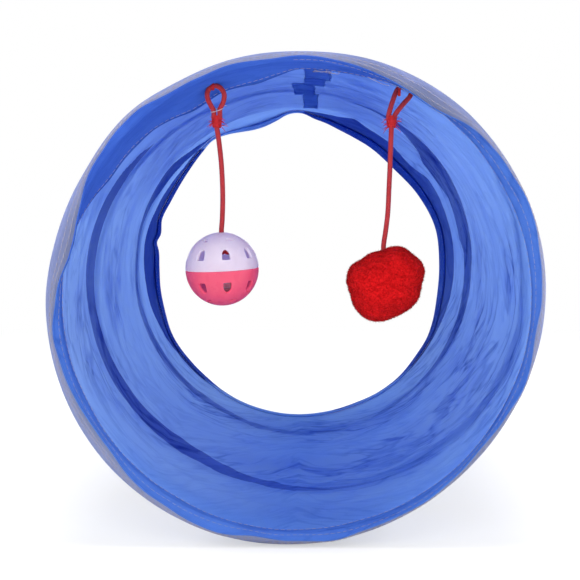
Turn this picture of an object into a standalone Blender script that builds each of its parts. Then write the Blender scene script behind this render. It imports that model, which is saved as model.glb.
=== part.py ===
"""Collapsible cat tunnel with two toys on elastic cords, modelled in metres.

The tunnel lies along Y with its front opening towards -Y, stands on z = 0, and is centred on x = 0 and y = 0.
Turns are degrees clockwise from the top as seen from the front, and depths run back from the front edge.
"""

import math

import bmesh
import bpy
from mathutils import Vector

# The tunnel as a whole
TUNNEL_LENGTH = 0.5
COIL_RADIUS = 0.1222
FACETS = 36
BAYS = 8
FIT_GAP = 0.0003

# Spring wire: a closed hoop at each end and two turns of coil between them
WIRE_DIAMETER = 0.0016
HOOP_DEPTH = 0.008
HOOP_SIDE_GAP = 0.0005
COIL_TURNS = 2
COIL_DEPTH_SHARES = (0, 0.09, 0.285, 0.31, 0.52, 0.75, 0.80, 0.81, 1)
FERRULE_LENGTH = 0.012
FERRULE_WALL = 0.0004

# Cloth tubes, drawn in between the turns of the wire
LINING_THICKNESS = 0.0008
LINING_INSET = 0.0122
COVER_THICKNESS = 0.0008
COVER_ROOM = 0.0015
DRAW_IN = 0.004
DRAW_IN_START = 0.040
DRAW_IN_REACH = 0.070

# Casing tape that holds the wire against the lining
TAPE_THICKNESS = 0.0006
TAPE_WIDTH = 0.032
CHANNEL_FOOT = 0.0048
CHANNEL_TOP = 0.0028

# Hems folded over the end hoops. The front one runs deeper over the top, where the toys hang from it
HEM_THICKNESS = 0.0008
HEM_DEPTH = 0.015
FLAP_DEPTH = 0.0295
FLAP_TURNS = (-80, -60, 36, 46)
HEM_RETURN = 0.012
HEM_CREASE = 0.0012
HEM_DROOP = 0.005
DROOP_TURN = -45
DROOP_HALF_TURN = 30
THREAD_DIAMETER = 0.0007
HEM_STITCH_INSET = 0.0015
EDGE_STITCH_DEPTH = 0.005

# Doubled seam along the top of the lining
SEAM_THICKNESS = 0.0008
SEAM_TURNS = (-0.5, 5, 9)

# Toys and their cords
TOY_DEPTH = 0.0245
CORD_DIAMETER = 0.0026
CORD_STEP = 0.0055
LOOP_STEP = 0.0018
TACK_DIAMETER = 0.0009
TACK_END_GAP = 0.0006
BINDING_DIAMETER = 0.0062
BINDING_ROUNDING = 0.0008
KNOT_DIAMETER = 0.0062

# Rattle ball, two like halves
BALL_HEIGHT = 0.014
BALL_DIAMETER = 0.037
BALL_WALL = 0.0012
BALL_HOLE_DIAMETER = 0.0034
BALL_SIDES = 24
BALL_RINGS = 6
LIP_HEIGHT = 0.0015
LIP_THICKNESS = 0.0008
LIP_ROOT = 0.002
ARCH_COUNT = 8
ARCH_TURN = 11
ARCH_WIDTH = 0.0043
ARCH_HEIGHT = 0.0055
ARCH_ELEVATION = 18
ARCH_OUTLINE_SHARES = ((-0.5, 0), (0.5, 0), (0.47, 0.5), (0.3, 0.85), (0, 1), (-0.3, 0.85), (-0.47, 0.5))
SLOT_COUNT = 5
SLOT_TURN = 29
SLOT_LENGTH = 0.0046
SLOT_WIDTH = 0.0019
SLOT_ELEVATION = 55
SLOT_LEAN = 18

# Bell that rolls loose in the ball
BELL_DIAMETER = 0.015
BELL_WALL = 0.0006
BELL_GAP = 0.0006
BELL_SLOT_WIDTH = 0.0012
BELL_SLOT_LENGTH = 0.011
PELLET_DIAMETER = 0.0036
PELLET_GAP = 0.0005

# Pom-pom
POMPOM_HEIGHT = 0.0067
POMPOM_RADIUS = 0.0180
POMPOM_SIDES = 24
POMPOM_RINGS = 14
POMPOM_LOBES = ((40, 0.17), (165, 0.12), (237, 0.10))
POMPOM_LOBE_HALF_ANGLE = 38
POMPOM_KNOT_DIAMETER = 0.0052

# Routes of the cords in their hanging plane: sideways and up from the tunnel's axis
BALL_LOOP_ROUTE = (
    (-0.0423, 0.0935),
    (-0.0423, 0.0952),
    (-0.0436, 0.0988),
    (-0.0438, 0.1027),
    (-0.0428, 0.1060),
    (-0.0400, 0.1076),
    (-0.0373, 0.1060),
    (-0.0364, 0.1023),
    (-0.0372, 0.0985),
    (-0.0392, 0.0952),
    (-0.0392, 0.0935),
)
BALL_CORD_ROUTE = (
    (-0.04075, 0.0869),
    (-0.0407, 0.0800),
    (-0.0404, 0.0700),
    (-0.0399, 0.0600),
    (-0.0393, 0.0500),
    (-0.0389, 0.0400),
    (-0.0388, 0.0345),
    (-0.0388, 0.0313),
)
POMPOM_LOOP_ROUTE = (
    (0.0473, 0.0935),
    (0.0473, 0.0952),
    (0.0485, 0.0978),
    (0.0500, 0.1003),
    (0.0518, 0.1024),
    (0.0540, 0.1032),
    (0.0559, 0.1022),
    (0.0562, 0.0998),
    (0.0546, 0.0973),
    (0.0504, 0.0952),
    (0.0504, 0.0935),
)
POMPOM_CORD_ROUTE = (
    (0.0488, 0.0869),
    (0.0485, 0.0790),
    (0.0479, 0.0670),
    (0.0472, 0.0550),
    (0.0466, 0.0430),
    (0.0461, 0.0340),
    (0.0458, 0.0280),
    (0.0458, 0.0096),
)

# Sizes that follow from those above
FACET_TURN = 360 / FACETS
FACET_RATIO = math.cos(math.radians(FACET_TURN / 2))
FACET_TURNS = [(i + 0.5) * FACET_TURN for i in range(FACETS)]
LINING_OUTER = COIL_RADIUS - WIRE_DIAMETER / 2 - FIT_GAP
LINING_INNER = LINING_OUTER - LINING_THICKNESS
HEM_FACE = LINING_INNER - FIT_GAP - HEM_THICKNESS
CHANNEL_ROOF = COIL_RADIUS + WIRE_DIAMETER / 2 + FIT_GAP
COVER_INNER = CHANNEL_ROOF + TAPE_THICKNESS + COVER_ROOM
COVER_OUTER = COVER_INNER + COVER_THICKNESS
AXIS_HEIGHT = COVER_OUTER * FACET_RATIO
WIRE_STEP = WIRE_DIAMETER + HOOP_SIDE_GAP
WIRE_START = -FACET_TURN / 2
COIL_START = 360 + FACET_TURN / 2
COIL_END = 360 * (1 + COIL_TURNS) - FACET_TURN / 2
WIRE_END = 360 * (2 + COIL_TURNS) + FACET_TURN / 2
BAY_LENGTH = TUNNEL_LENGTH / BAYS


def clear_scene():
    for item in list(bpy.data.objects):
        bpy.data.objects.remove(item, do_unlink=True)


def make_material(name, color, roughness, metallic=0.0):
    material = bpy.data.materials.new(name)
    material.use_nodes = True
    shader = material.node_tree.nodes["Principled BSDF"]
    shader.inputs["Base Color"].default_value = (*color, 1)
    shader.inputs["Roughness"].default_value = roughness
    shader.inputs["Metallic"].default_value = metallic
    return material


def tunnel_point(radius, turn, depth):
    """The point at a radius from the tunnel's axis, a turn and a depth."""
    angle = math.radians(turn)
    return Vector((radius * math.sin(angle), depth - TUNNEL_LENGTH / 2, AXIS_HEIGHT + radius * math.cos(angle)))


def hanging_point(side, height, depth=TOY_DEPTH):
    """The point at a distance to the side of the tunnel's axis and a height above it."""
    return Vector((side, depth - TUNNEL_LENGTH / 2, AXIS_HEIGHT + height))


def smooth_share(value):
    """0 below 0, 1 above 1, and an S-curve between."""
    share = min(max(value, 0), 1)
    return share * share * (3 - 2 * share)


def eased(values, place):
    """The value at a place along evenly spaced rising values, on a smooth curve that never overshoots them."""
    steps = [after - before for before, after in zip(values, values[1:])]
    inner = [2 * a * b / (a + b) if a * b > 0 else 0 for a, b in zip(steps, steps[1:])]
    slopes = [0, *inner, 0]
    i = min(int(place), len(steps) - 1)
    t = place - i
    rise = t * t * (3 - 2 * t)
    return values[i] + steps[i] * rise + slopes[i] * t * (1 - t) ** 2 - slopes[i + 1] * t * t * (1 - t)


def route_curve(route, step):
    """Points a step apart or closer on a smooth curve through a route's own points."""
    ends = [2 * route[0] - route[1], *route, 2 * route[-1] - route[-2]]
    points = []
    for a, b, c, d in zip(ends, ends[1:], ends[2:], ends[3:]):
        count = max(1, math.ceil((c - b).length / step))
        for i in range(count):
            t = i / count
            bend = (2 * a - 5 * b + 4 * c - d) * t * t + (3 * b - a - 3 * c + d) * t**3
            points.append(b + ((c - a) * t + bend) / 2)
    return [*points, route[-1]]


def least_gap(points, diameter, reach):
    """The least gap of a tube to itself, between points more than a reach apart along it."""
    gaps = []
    for i, point in enumerate(points):
        gaps += [(point - other).length - diameter for other in points[i + reach :]]
    return min(gaps)


def add_mesh(name, mesh, material, origin):
    bmesh.ops.recalc_face_normals(mesh, faces=mesh.faces)
    data = bpy.data.meshes.new(name)
    mesh.to_mesh(data)
    mesh.free()
    data.materials.append(material)
    data.shade_smooth()
    data.set_sharp_from_angle(angle=math.radians(35))
    item = bpy.data.objects.new(name, data)
    item.location = origin
    bpy.context.scene.collection.objects.link(item)
    return item


def add_sides(mesh, near, far):
    """Triangles between two outlines. Each side is split along the diagonal that runs deeper into the tunnel."""
    for i, start in enumerate(near):
        j = (i + 1) % len(near)
        if start.co.y <= near[j].co.y:
            mesh.faces.new((start, near[j], far[j]))
            mesh.faces.new((start, far[j], far[i]))
        else:
            mesh.faces.new((start, near[j], far[i]))
            mesh.faces.new((near[j], far[j], far[i]))


def swept_body(name, sections, material, closed=False, origin=None):
    """A closed body through outlines with equal numbers of points, either capped at its ends or joined into a ring."""
    centre = origin or Vector()
    mesh = bmesh.new()
    rows = [[mesh.verts.new(point - centre) for point in section] for section in sections]
    for near, far in zip(rows, rows[1:]):
        add_sides(mesh, near, far)
    if closed:
        add_sides(mesh, rows[-1], rows[0])
    else:
        mesh.faces.new(rows[0])
        mesh.faces.new(rows[-1])
    return add_mesh(name, mesh, material, centre)


def turned_body(name, outline, centre, sides, material, origin=None):
    """A body turned about an upright axis. The outline gives radius and height, and starts and ends on the axis."""
    place = origin or centre
    mesh = bmesh.new()
    poles = [mesh.verts.new(centre + Vector((0, 0, outline[i][1])) - place) for i in (0, -1)]
    rows = []
    for i in range(sides):
        angle = math.tau * i / sides
        spoke = Vector((math.sin(angle), math.cos(angle), 0))
        rows.append([mesh.verts.new(centre + r * spoke + Vector((0, 0, h)) - place) for r, h in outline[1:-1]])
    for near, far in zip(rows, rows[1:] + rows[:1]):
        mesh.faces.new((poles[0], near[0], far[0]))
        mesh.faces.new((poles[1], far[-1], near[-1]))
        for a, b, c, d in zip(near, near[1:], far[1:], far):
            mesh.faces.new((a, b, c, d))
    return add_mesh(name, mesh, material, place)


def turned_shell(name, outline, centre, sides, material, origin=None):
    """A ring turned about an upright axis. The closed outline gives radius and height and stays off the axis."""
    sections = []
    for i in range(sides):
        angle = math.tau * i / sides
        spoke = Vector((math.sin(angle), math.cos(angle), 0))
        sections.append([centre + r * spoke + Vector((0, 0, h)) for r, h in outline])
    return swept_body(name, sections, material, closed=True, origin=origin or centre)


def arc_outline(radius, start, end, steps):
    """Radius and height of points on an arc about the origin, from one elevation to another in degrees."""
    angles = [math.radians(start + (end - start) * i / steps) for i in range(steps + 1)]
    return [(radius * math.cos(angle), radius * math.sin(angle)) for angle in angles]


def ball_outline(radius, steps):
    """The outline of a whole ball, from its lowest point to its highest."""
    arc = arc_outline(radius, -90, 90, steps)
    return [(0, -radius), *arc[1:-1], (0, radius)]


def cord_tube(name, points, diameter, resolution, material, origin):
    """A round tube with closed ends along a line of points."""
    curve = bpy.data.curves.new(name, "CURVE")
    curve.dimensions = "3D"
    curve.bevel_depth = diameter / 2
    curve.bevel_resolution = resolution
    curve.use_fill_caps = True
    curve.materials.append(material)
    spline = curve.splines.new("POLY")
    spline.points.add(len(points) - 1)
    for target, point in zip(spline.points, points):
        target.co = (*(point - origin), 1)
        target.radius = 1
    item = bpy.data.objects.new(name, curve)
    item.location = origin
    bpy.context.scene.collection.objects.link(item)
    return item


def cut(item, cutter):
    """Takes a cutter's shape out of an item and hides the cutter."""
    cutter.hide_render = True
    cutter.display_type = "WIRE"
    difference = item.modifiers.new("Cut " + cutter.name, "BOOLEAN")
    difference.operation = "DIFFERENCE"
    difference.solver = "EXACT"
    difference.object = cutter


# Spring wire


def hoop_depth(turn):
    """Depth of the front hoop, which steps back beside its own start before it becomes the coil."""
    climb_start = 360 * 2 / 3
    climb_end = 360 - 1.5 * FACET_TURN
    return HOOP_DEPTH + WIRE_STEP * smooth_share((turn - climb_start) / (climb_end - climb_start))


def wire_depth(turn):
    """Depth of the wire's middle at a turn counted along it from the top of the front hoop."""
    if turn <= COIL_START:
        return hoop_depth(turn)
    if turn >= COIL_END:
        return TUNNEL_LENGTH - hoop_depth(WIRE_END + WIRE_START - turn)
    start = hoop_depth(COIL_START)
    place = (turn - COIL_START) / (COIL_END - COIL_START) * (len(COIL_DEPTH_SHARES) - 1)
    return start + (TUNNEL_LENGTH - 2 * start) * eased(COIL_DEPTH_SHARES, place)


def wire_turns(start, end):
    return [start + i * FACET_TURN for i in range(round((end - start) / FACET_TURN) + 1)]


def add_spring_wire(material):
    points = [tunnel_point(COIL_RADIUS, turn, wire_depth(turn)) for turn in wire_turns(WIRE_START, WIRE_END)]
    cord_tube("spring_wire", points, WIRE_DIAMETER, 1, material, tunnel_point(0, 0, 0))
    print(f"spring wire: least gap to itself {1000 * least_gap(points, WIRE_DIAMETER, 3):.2f} mm")


def add_ferrule(name, depth, material):
    """An oval sleeve crimped over the wire's end and the pass beside it, at the top of a hoop."""
    inner = WIRE_DIAMETER / 2 + FIT_GAP
    outer = inner + FERRULE_WALL
    top = COIL_RADIUS * FACET_RATIO
    sections = []
    for side, start in ((WIRE_STEP / 2, -90), (-WIRE_STEP / 2, 90)):
        for step in range(5):
            angle = math.radians(start + 45 * step)
            section = []
            for radius, end in ((outer, -1), (outer, 1), (inner, 1), (inner, -1)):
                point = tunnel_point(0, 0, depth + side + radius * math.cos(angle))
                section.append(point + Vector((end * FERRULE_LENGTH / 2, 0, top + radius * math.sin(angle))))
            sections.append(section)
    swept_body(name, sections, material, closed=True, origin=tunnel_point(0, 0, depth))


# Cloth


def drawn_in(turn, depth):
    """How far the cloth is drawn in: nothing near the wire, most midway between two turns of it."""
    passes = [turn % 360 + 360 * k for k in range(COIL_TURNS + 2)]
    nearest = min(abs(depth - wire_depth(at)) for at in passes)
    return DRAW_IN * smooth_share((nearest - DRAW_IN_START) / DRAW_IN_REACH)


def tube_stations(start, end):
    """Depths at which a cloth tube has a ring: its two ends and every half bay between them."""
    half = BAY_LENGTH / 2
    inner = [half * i for i in range(1, 2 * BAYS) if start + FIT_GAP < half * i < end - FIT_GAP]
    return [start, *inner, end]


def add_cloth_tube(name, start, end, inner, outer, material, origin_depth):
    stations = tube_stations(start, end)
    sections = []
    for turn in FACET_TURNS:
        pulls = [drawn_in(turn, depth) for depth in stations]
        outside = [tunnel_point(outer - pull, turn, depth) for pull, depth in zip(pulls, stations)]
        inside = [tunnel_point(inner - pull, turn, depth) for pull, depth in zip(pulls, stations)]
        sections.append(outside + inside[::-1])
    swept_body(name, sections, material, closed=True, origin=tunnel_point(0, 0, origin_depth))


def add_cover(material):
    for i in range(BAYS):
        start = i * BAY_LENGTH + (FIT_GAP / 2 if i else 0)
        end = (i + 1) * BAY_LENGTH - (FIT_GAP / 2 if i < BAYS - 1 else 0)
        name = f"cover_bay_{i + 1}"
        add_cloth_tube(name, start, end, COVER_INNER, COVER_OUTER, material, i * BAY_LENGTH)


def add_lining(material):
    end = TUNNEL_LENGTH - LINING_INSET
    add_cloth_tube("lining", LINING_INSET, end, LINING_INNER, LINING_OUTER, material, 0)


def add_wire_casing(material):
    """A tape along the coil, flat on the lining and humped over the wire."""
    flat_inner = LINING_OUTER + FIT_GAP
    flat_outer = flat_inner + TAPE_THICKNESS
    hump_outer = CHANNEL_ROOF + TAPE_THICKNESS
    half = TAPE_WIDTH / 2
    foot = CHANNEL_FOOT / 2
    top = CHANNEL_TOP / 2
    under = [(-half, flat_inner), (-foot, flat_inner), (-top, CHANNEL_ROOF)]
    over = [(-half, flat_outer), (-foot - TAPE_THICKNESS, flat_outer), (-top - TAPE_THICKNESS / 2, hump_outer)]
    under += [(-side, radius) for side, radius in under[::-1]]
    over += [(-side, radius) for side, radius in over[::-1]]
    sections = []
    for turn in wire_turns(COIL_START, COIL_END):
        depth = wire_depth(turn)
        if half + LINING_INSET < depth < TUNNEL_LENGTH - LINING_INSET - half:
            sections.append([tunnel_point(radius, turn, depth + side) for side, radius in under + over[::-1]])
    swept_body("wire_casing", sections, material, origin=tunnel_point(0, 0, 0))


def droop(turn, depth):
    """How far the front hem's inner leg hangs in at the top left, growing with depth."""
    offset = abs((turn - DROOP_TURN + 180) % 360 - 180) / DROOP_HALF_TURN
    if offset >= 1:
        return 0
    return HEM_DROOP * math.cos(offset * math.pi / 2) ** 2 * depth / FLAP_DEPTH


def hem_depth(turn, rear):
    """Depth of a hem's inner edge: the same all round at the rear, deeper over the top at the front."""
    if rear:
        return HEM_DEPTH
    side = (turn + 180) % 360 - 180
    start, full, last, end = FLAP_TURNS
    share = min(smooth_share((side - start) / (full - start)), smooth_share((end - side) / (end - last)))
    return HEM_DEPTH + (FLAP_DEPTH - HEM_DEPTH) * share


def add_hem(name, rear, material):
    """A doubled strip folded round an end hoop: a long inner leg on the lining and a short one under the cover."""
    inner = HEM_FACE
    outer = COVER_INNER - FIT_GAP
    fold = HEM_THICKNESS + HEM_CREASE / 2
    sections = []
    for turn in FACET_TURNS:
        edge = hem_depth(turn, rear)
        stations = (EDGE_STITCH_DEPTH, edge - HEM_STITCH_INSET, edge)
        outline = [
            (HEM_CREASE, inner),
            *((depth, inner) for depth in stations),
            *((depth, inner + HEM_THICKNESS) for depth in stations[::-1]),
            (fold, inner + HEM_THICKNESS),
            (fold, outer - HEM_THICKNESS),
            (HEM_RETURN, outer - HEM_THICKNESS),
            (HEM_RETURN, outer),
            (HEM_CREASE, outer),
            (0, outer - HEM_CREASE),
            (0, inner + HEM_CREASE),
        ]
        section = []
        for depth, radius in outline:
            sag = 0 if rear or radius > COIL_RADIUS else droop(turn, depth)
            section.append(tunnel_point(radius - sag, turn, TUNNEL_LENGTH - depth if rear else depth))
        sections.append(section)
    origin = tunnel_point(0, 0, TUNNEL_LENGTH if rear else 0)
    swept_body(name, sections, material, closed=True, origin=origin)


def add_hem_thread(name, inset, rear, material):
    """One line of thread round a hem's inner face: near its inner edge with an inset, or near its fold without."""
    half = THREAD_DIAMETER / 2
    middle = HEM_FACE - FIT_GAP - half
    sections = []
    for turn in FACET_TURNS:
        depth = hem_depth(turn, rear) - inset if inset else EDGE_STITCH_DEPTH
        section = []
        for along, out in ((half, 0), (0, half), (-half, 0), (0, -half)):
            sag = 0 if rear else droop(turn, depth + along)
            place = TUNNEL_LENGTH - depth - along if rear else depth + along
            section.append(tunnel_point(middle + out - sag, turn, place))
        sections.append(section)
    origin = tunnel_point(0, 0, TUNNEL_LENGTH if rear else 0)
    swept_body(name, sections, material, closed=True, origin=origin)


def facet_radius(radius, turn):
    """Distance from the axis to a flat facet whose corners lie at a radius."""
    middle = round(turn / FACET_TURN) * FACET_TURN
    return radius * FACET_RATIO / math.cos(math.radians(turn - middle))


def lining_face(turn, depth):
    """Distance from the axis to the lining's inner side, on the facet between its two nearest corners."""
    corner = (math.floor(turn / FACET_TURN - 0.5) + 0.5) * FACET_TURN
    share = (turn - corner) / FACET_TURN
    pull = (1 - share) * drawn_in(corner, depth) + share * drawn_in(corner + FACET_TURN, depth)
    middle = math.radians(turn - corner - FACET_TURN / 2)
    return (LINING_INNER - pull) * FACET_RATIO / math.cos(middle)


def add_seam_strip(material):
    sections = []
    for depth in tube_stations(FLAP_DEPTH + FIT_GAP, TUNNEL_LENGTH - HEM_DEPTH - FIT_GAP):
        outer = [(lining_face(turn, depth) - FIT_GAP, turn) for turn in SEAM_TURNS]
        inner = [(radius - SEAM_THICKNESS, turn) for radius, turn in outer]
        sections.append([tunnel_point(radius, turn, depth) for radius, turn in outer + inner[::-1]])
    swept_body("lining_seam_strip", sections, material, origin=tunnel_point(0, 0, 0))


# Toys


def route_points(route):
    return [hanging_point(side, height) for side, height in route]


def add_loop_and_tack(toy, route, cord, thread):
    """A loop of cord hanging by its crown in a tack of thread sewn to the front hem."""
    points = route_points(route)
    crown = points[len(points) // 2]
    cord_tube(f"{toy}_cord_loop", route_curve(points, LOOP_STEP), CORD_DIAMETER, 2, cord, crown)
    reach = CORD_DIAMETER / 2 + FIT_GAP + TACK_DIAMETER / 2
    side = crown.x
    turn = math.degrees(math.asin(side / HEM_FACE))
    line = []
    for way in (-1, 1):
        face = facet_radius(HEM_FACE, turn) - droop(turn, TOY_DEPTH + way * reach) - TACK_END_GAP
        height = math.sqrt(face * face - side * side)
        line.append([hanging_point(side, height, TOY_DEPTH + way * reach)])
    under = []
    for step in range(9):
        angle = math.pi * step / 8
        under.append(crown + Vector((0, -reach * math.cos(angle), -reach * math.sin(angle))))
    cord_tube(f"{toy}_loop_tack", line[0] + under + line[1], TACK_DIAMETER, 1, thread, crown)


def add_binding(toy, loop_route, cord_route, material):
    """A turned whipping between the loop's two legs and the single cord."""
    top = loop_route[0][1] - FIT_GAP
    bottom = cord_route[0][1] + FIT_GAP
    half = (top - bottom) / 2
    radius = BINDING_DIAMETER / 2
    outline = [
        (0, -half),
        (radius - BINDING_ROUNDING, -half),
        (radius, BINDING_ROUNDING - half),
        (radius, half - BINDING_ROUNDING),
        (radius - BINDING_ROUNDING, half),
        (0, half),
    ]
    centre = hanging_point(cord_route[0][0], (top + bottom) / 2)
    crown = hanging_point(*loop_route[len(loop_route) // 2])
    turned_body(f"{toy}_cord_binding", outline, centre, 12, material, crown)


def window_prism(mesh, outline, radius, centre):
    """A closed prism through a ball's wall. The outline gives turn and elevation in degrees about its centre."""
    rows = []
    for scale in (0.8, 1.2):
        row = []
        for turn, elevation in outline:
            a = math.radians(turn)
            e = math.radians(elevation)
            spoke = Vector((math.sin(a) * math.cos(e), -math.cos(a) * math.cos(e), math.sin(e)))
            row.append(mesh.verts.new(centre + scale * radius * spoke))
        rows.append(row)
    add_sides(mesh, rows[0], rows[1])
    mesh.faces.new(rows[0])
    mesh.faces.new(rows[1])


def window_outlines(way):
    """Arches near the equator and leaning slots near the pole, on the upper half (way 1) or the lower one (-1)."""
    radius = BALL_DIAMETER / 2
    outlines = []
    for i in range(ARCH_COUNT):
        outline = []
        for along, up in ARCH_OUTLINE_SHARES:
            elevation = ARCH_ELEVATION + math.degrees(up * ARCH_HEIGHT / radius)
            spread = math.degrees(along * ARCH_WIDTH / radius) / math.cos(math.radians(elevation))
            outline.append((ARCH_TURN + 360 * i / ARCH_COUNT + spread, way * elevation))
        outlines.append(outline)
    lean = math.radians(SLOT_LEAN)
    for i in range(SLOT_COUNT):
        outline = []
        for step in range(8):
            angle = math.tau * step / 8
            long = SLOT_LENGTH / 2 * math.cos(angle)
            short = SLOT_WIDTH / 2 * math.sin(angle)
            up = math.degrees((short * math.cos(lean) - long * math.sin(lean)) / radius)
            along = math.degrees((long * math.cos(lean) + short * math.sin(lean)) / radius)
            spread = along / math.cos(math.radians(SLOT_ELEVATION))
            outline.append((SLOT_TURN + 360 * i / SLOT_COUNT + spread, way * (SLOT_ELEVATION + up)))
        outlines.append(outline)
    return outlines


def add_ball_half(name, way, centre, material):
    """Half a hollow ball with windows and a hole at its pole. The lower half has a lip that fits in the upper one."""
    outer = BALL_DIAMETER / 2
    inner = outer - BALL_WALL
    hole = math.degrees(math.acos(BALL_HOLE_DIAMETER / 2 / outer))
    outer_arc = arc_outline(outer, math.degrees(FIT_GAP / 2 / outer), hole, BALL_RINGS)
    inner_hole = math.degrees(math.acos(BALL_HOLE_DIAMETER / 2 / inner))
    if way > 0:
        inner_arc = arc_outline(inner, inner_hole, math.degrees(FIT_GAP / 2 / inner), BALL_RINGS)
    else:
        lip_outer = inner - FIT_GAP
        lip_inner = lip_outer - LIP_THICKNESS
        inner_arc = arc_outline(inner, inner_hole, math.degrees(LIP_ROOT / inner), BALL_RINGS)
        inner_arc += [(lip_inner, LIP_ROOT), (lip_inner, -LIP_HEIGHT), (lip_outer, -LIP_HEIGHT)]
        inner_arc += [(lip_outer, FIT_GAP / 2)]
    outline = [(radius, way * height) for radius, height in outer_arc + inner_arc]
    half = turned_shell(name, outline, centre, BALL_SIDES, material)
    mesh = bmesh.new()
    for windows in window_outlines(way):
        window_prism(mesh, windows, outer, Vector())
    cut(half, add_mesh(f"{name}_windows", mesh, material, centre))


def add_bell(centre, material, pellet_material):
    """A two-cup bell lying in the bottom of the ball, with a cross of slots under it and a pellet in it."""
    outer = BELL_DIAMETER / 2
    inner = outer - BELL_WALL
    gap = math.degrees(FIT_GAP / 2 / outer)
    place = centre - Vector((0, 0, BALL_DIAMETER / 2 - BALL_WALL - BELL_GAP - outer))
    for name, way in (("bell_upper_cup", 1), ("bell_lower_cup", -1)):
        outside = arc_outline(outer, gap, 90, 5)[:-1] + [(0, outer)]
        inside = [(0, inner)] + arc_outline(inner, 90, gap, 5)[1:]
        outline = [(radius, way * height) for radius, height in inside + outside]
        add_cup(name, outline, place, centre, material, way)
    pellet = PELLET_DIAMETER / 2
    drop = inner - PELLET_GAP - pellet
    turned_body("bell_pellet", ball_outline(pellet, 6), place - Vector((0, 0, drop)), 10, pellet_material, place)


def add_cup(name, outline, place, origin, material, way):
    """Half a bell: its outline runs from the inner pole to the rim and back to the outer pole."""
    cup = turned_body(name, outline, place, 16, material, origin)
    if way > 0:
        return
    mesh = bmesh.new()
    half_length = BELL_SLOT_LENGTH / 2
    half_width = BELL_SLOT_WIDTH / 2
    corners = [
        (half_width, half_width),
        (half_width, half_length),
        (-half_width, half_length),
        (-half_width, half_width),
        (-half_length, half_width),
        (-half_length, -half_width),
        (-half_width, -half_width),
        (-half_width, -half_length),
        (half_width, -half_length),
        (half_width, -half_width),
        (half_length, -half_width),
        (half_length, half_width),
    ]
    drop = place - origin
    rows = []
    for height in (-BELL_DIAMETER, -BELL_DIAMETER / 4):
        rows.append([mesh.verts.new(drop + Vector((x, y, height))) for x, y in corners])
    add_sides(mesh, rows[0], rows[1])
    mesh.faces.new(rows[0])
    mesh.faces.new(rows[1])
    cut(cup, add_mesh(f"{name}_slots", mesh, material, origin))


def lobed(direction):
    """Radius of the pom-pom in a direction: round, with soft lobes seen from the front."""
    share = 1
    for turn, height in POMPOM_LOBES:
        angle = math.radians(turn)
        lobe = Vector((math.cos(angle), 0, math.sin(angle)))
        away = math.degrees(math.acos(max(-1, min(1, direction.dot(lobe)))))
        share += height * math.exp(-((away / POMPOM_LOBE_HALF_ANGLE) ** 2))
    return POMPOM_RADIUS * share


def add_pompom(centre, material):
    """A lobed ball with a bore and a pocket for its cord and knot."""
    mesh = bmesh.new()
    rows = []
    poles = [mesh.verts.new(Vector((0, 0, way * lobed(Vector((0, 0, way)))))) for way in (-1, 1)]
    for i in range(POMPOM_SIDES):
        angle = math.tau * i / POMPOM_SIDES
        row = []
        for radius, height in arc_outline(1, -90, 90, POMPOM_RINGS)[1:-1]:
            direction = Vector((radius * math.sin(angle), radius * math.cos(angle), height))
            row.append(mesh.verts.new(direction * lobed(direction)))
        rows.append(row)
    for near, far in zip(rows, rows[1:] + rows[:1]):
        mesh.faces.new((poles[0], near[0], far[0]))
        mesh.faces.new((poles[1], far[-1], near[-1]))
        for a, b, c, d in zip(near, near[1:], far[1:], far):
            mesh.faces.new((a, b, c, d))
    pompom = add_mesh("pompom", mesh, material, centre)
    knot = POMPOM_KNOT_DIAMETER / 2
    pocket = knot + FIT_GAP
    neck = CORD_DIAMETER / 2 + FIT_GAP
    neck_angle = math.degrees(math.acos(neck / pocket))
    outline = [(0, -pocket), *arc_outline(pocket, -90, neck_angle, 6)[1:]]
    outline += [(neck, 2 * POMPOM_RADIUS), (0, 2 * POMPOM_RADIUS)]
    knot_height = POMPOM_CORD_ROUTE[-1][1] - FIT_GAP - knot
    place = hanging_point(POMPOM_CORD_ROUTE[-1][0], knot_height)
    cut(pompom, turned_body("pompom_bore", outline, place, 12, material))
    return place, knot


def add_toy_cord(toy, route, material):
    points = route_curve(route_points(route), CORD_STEP)
    cord_tube(f"{toy}_cord", points, CORD_DIAMETER, 2, material, points[0])


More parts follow.
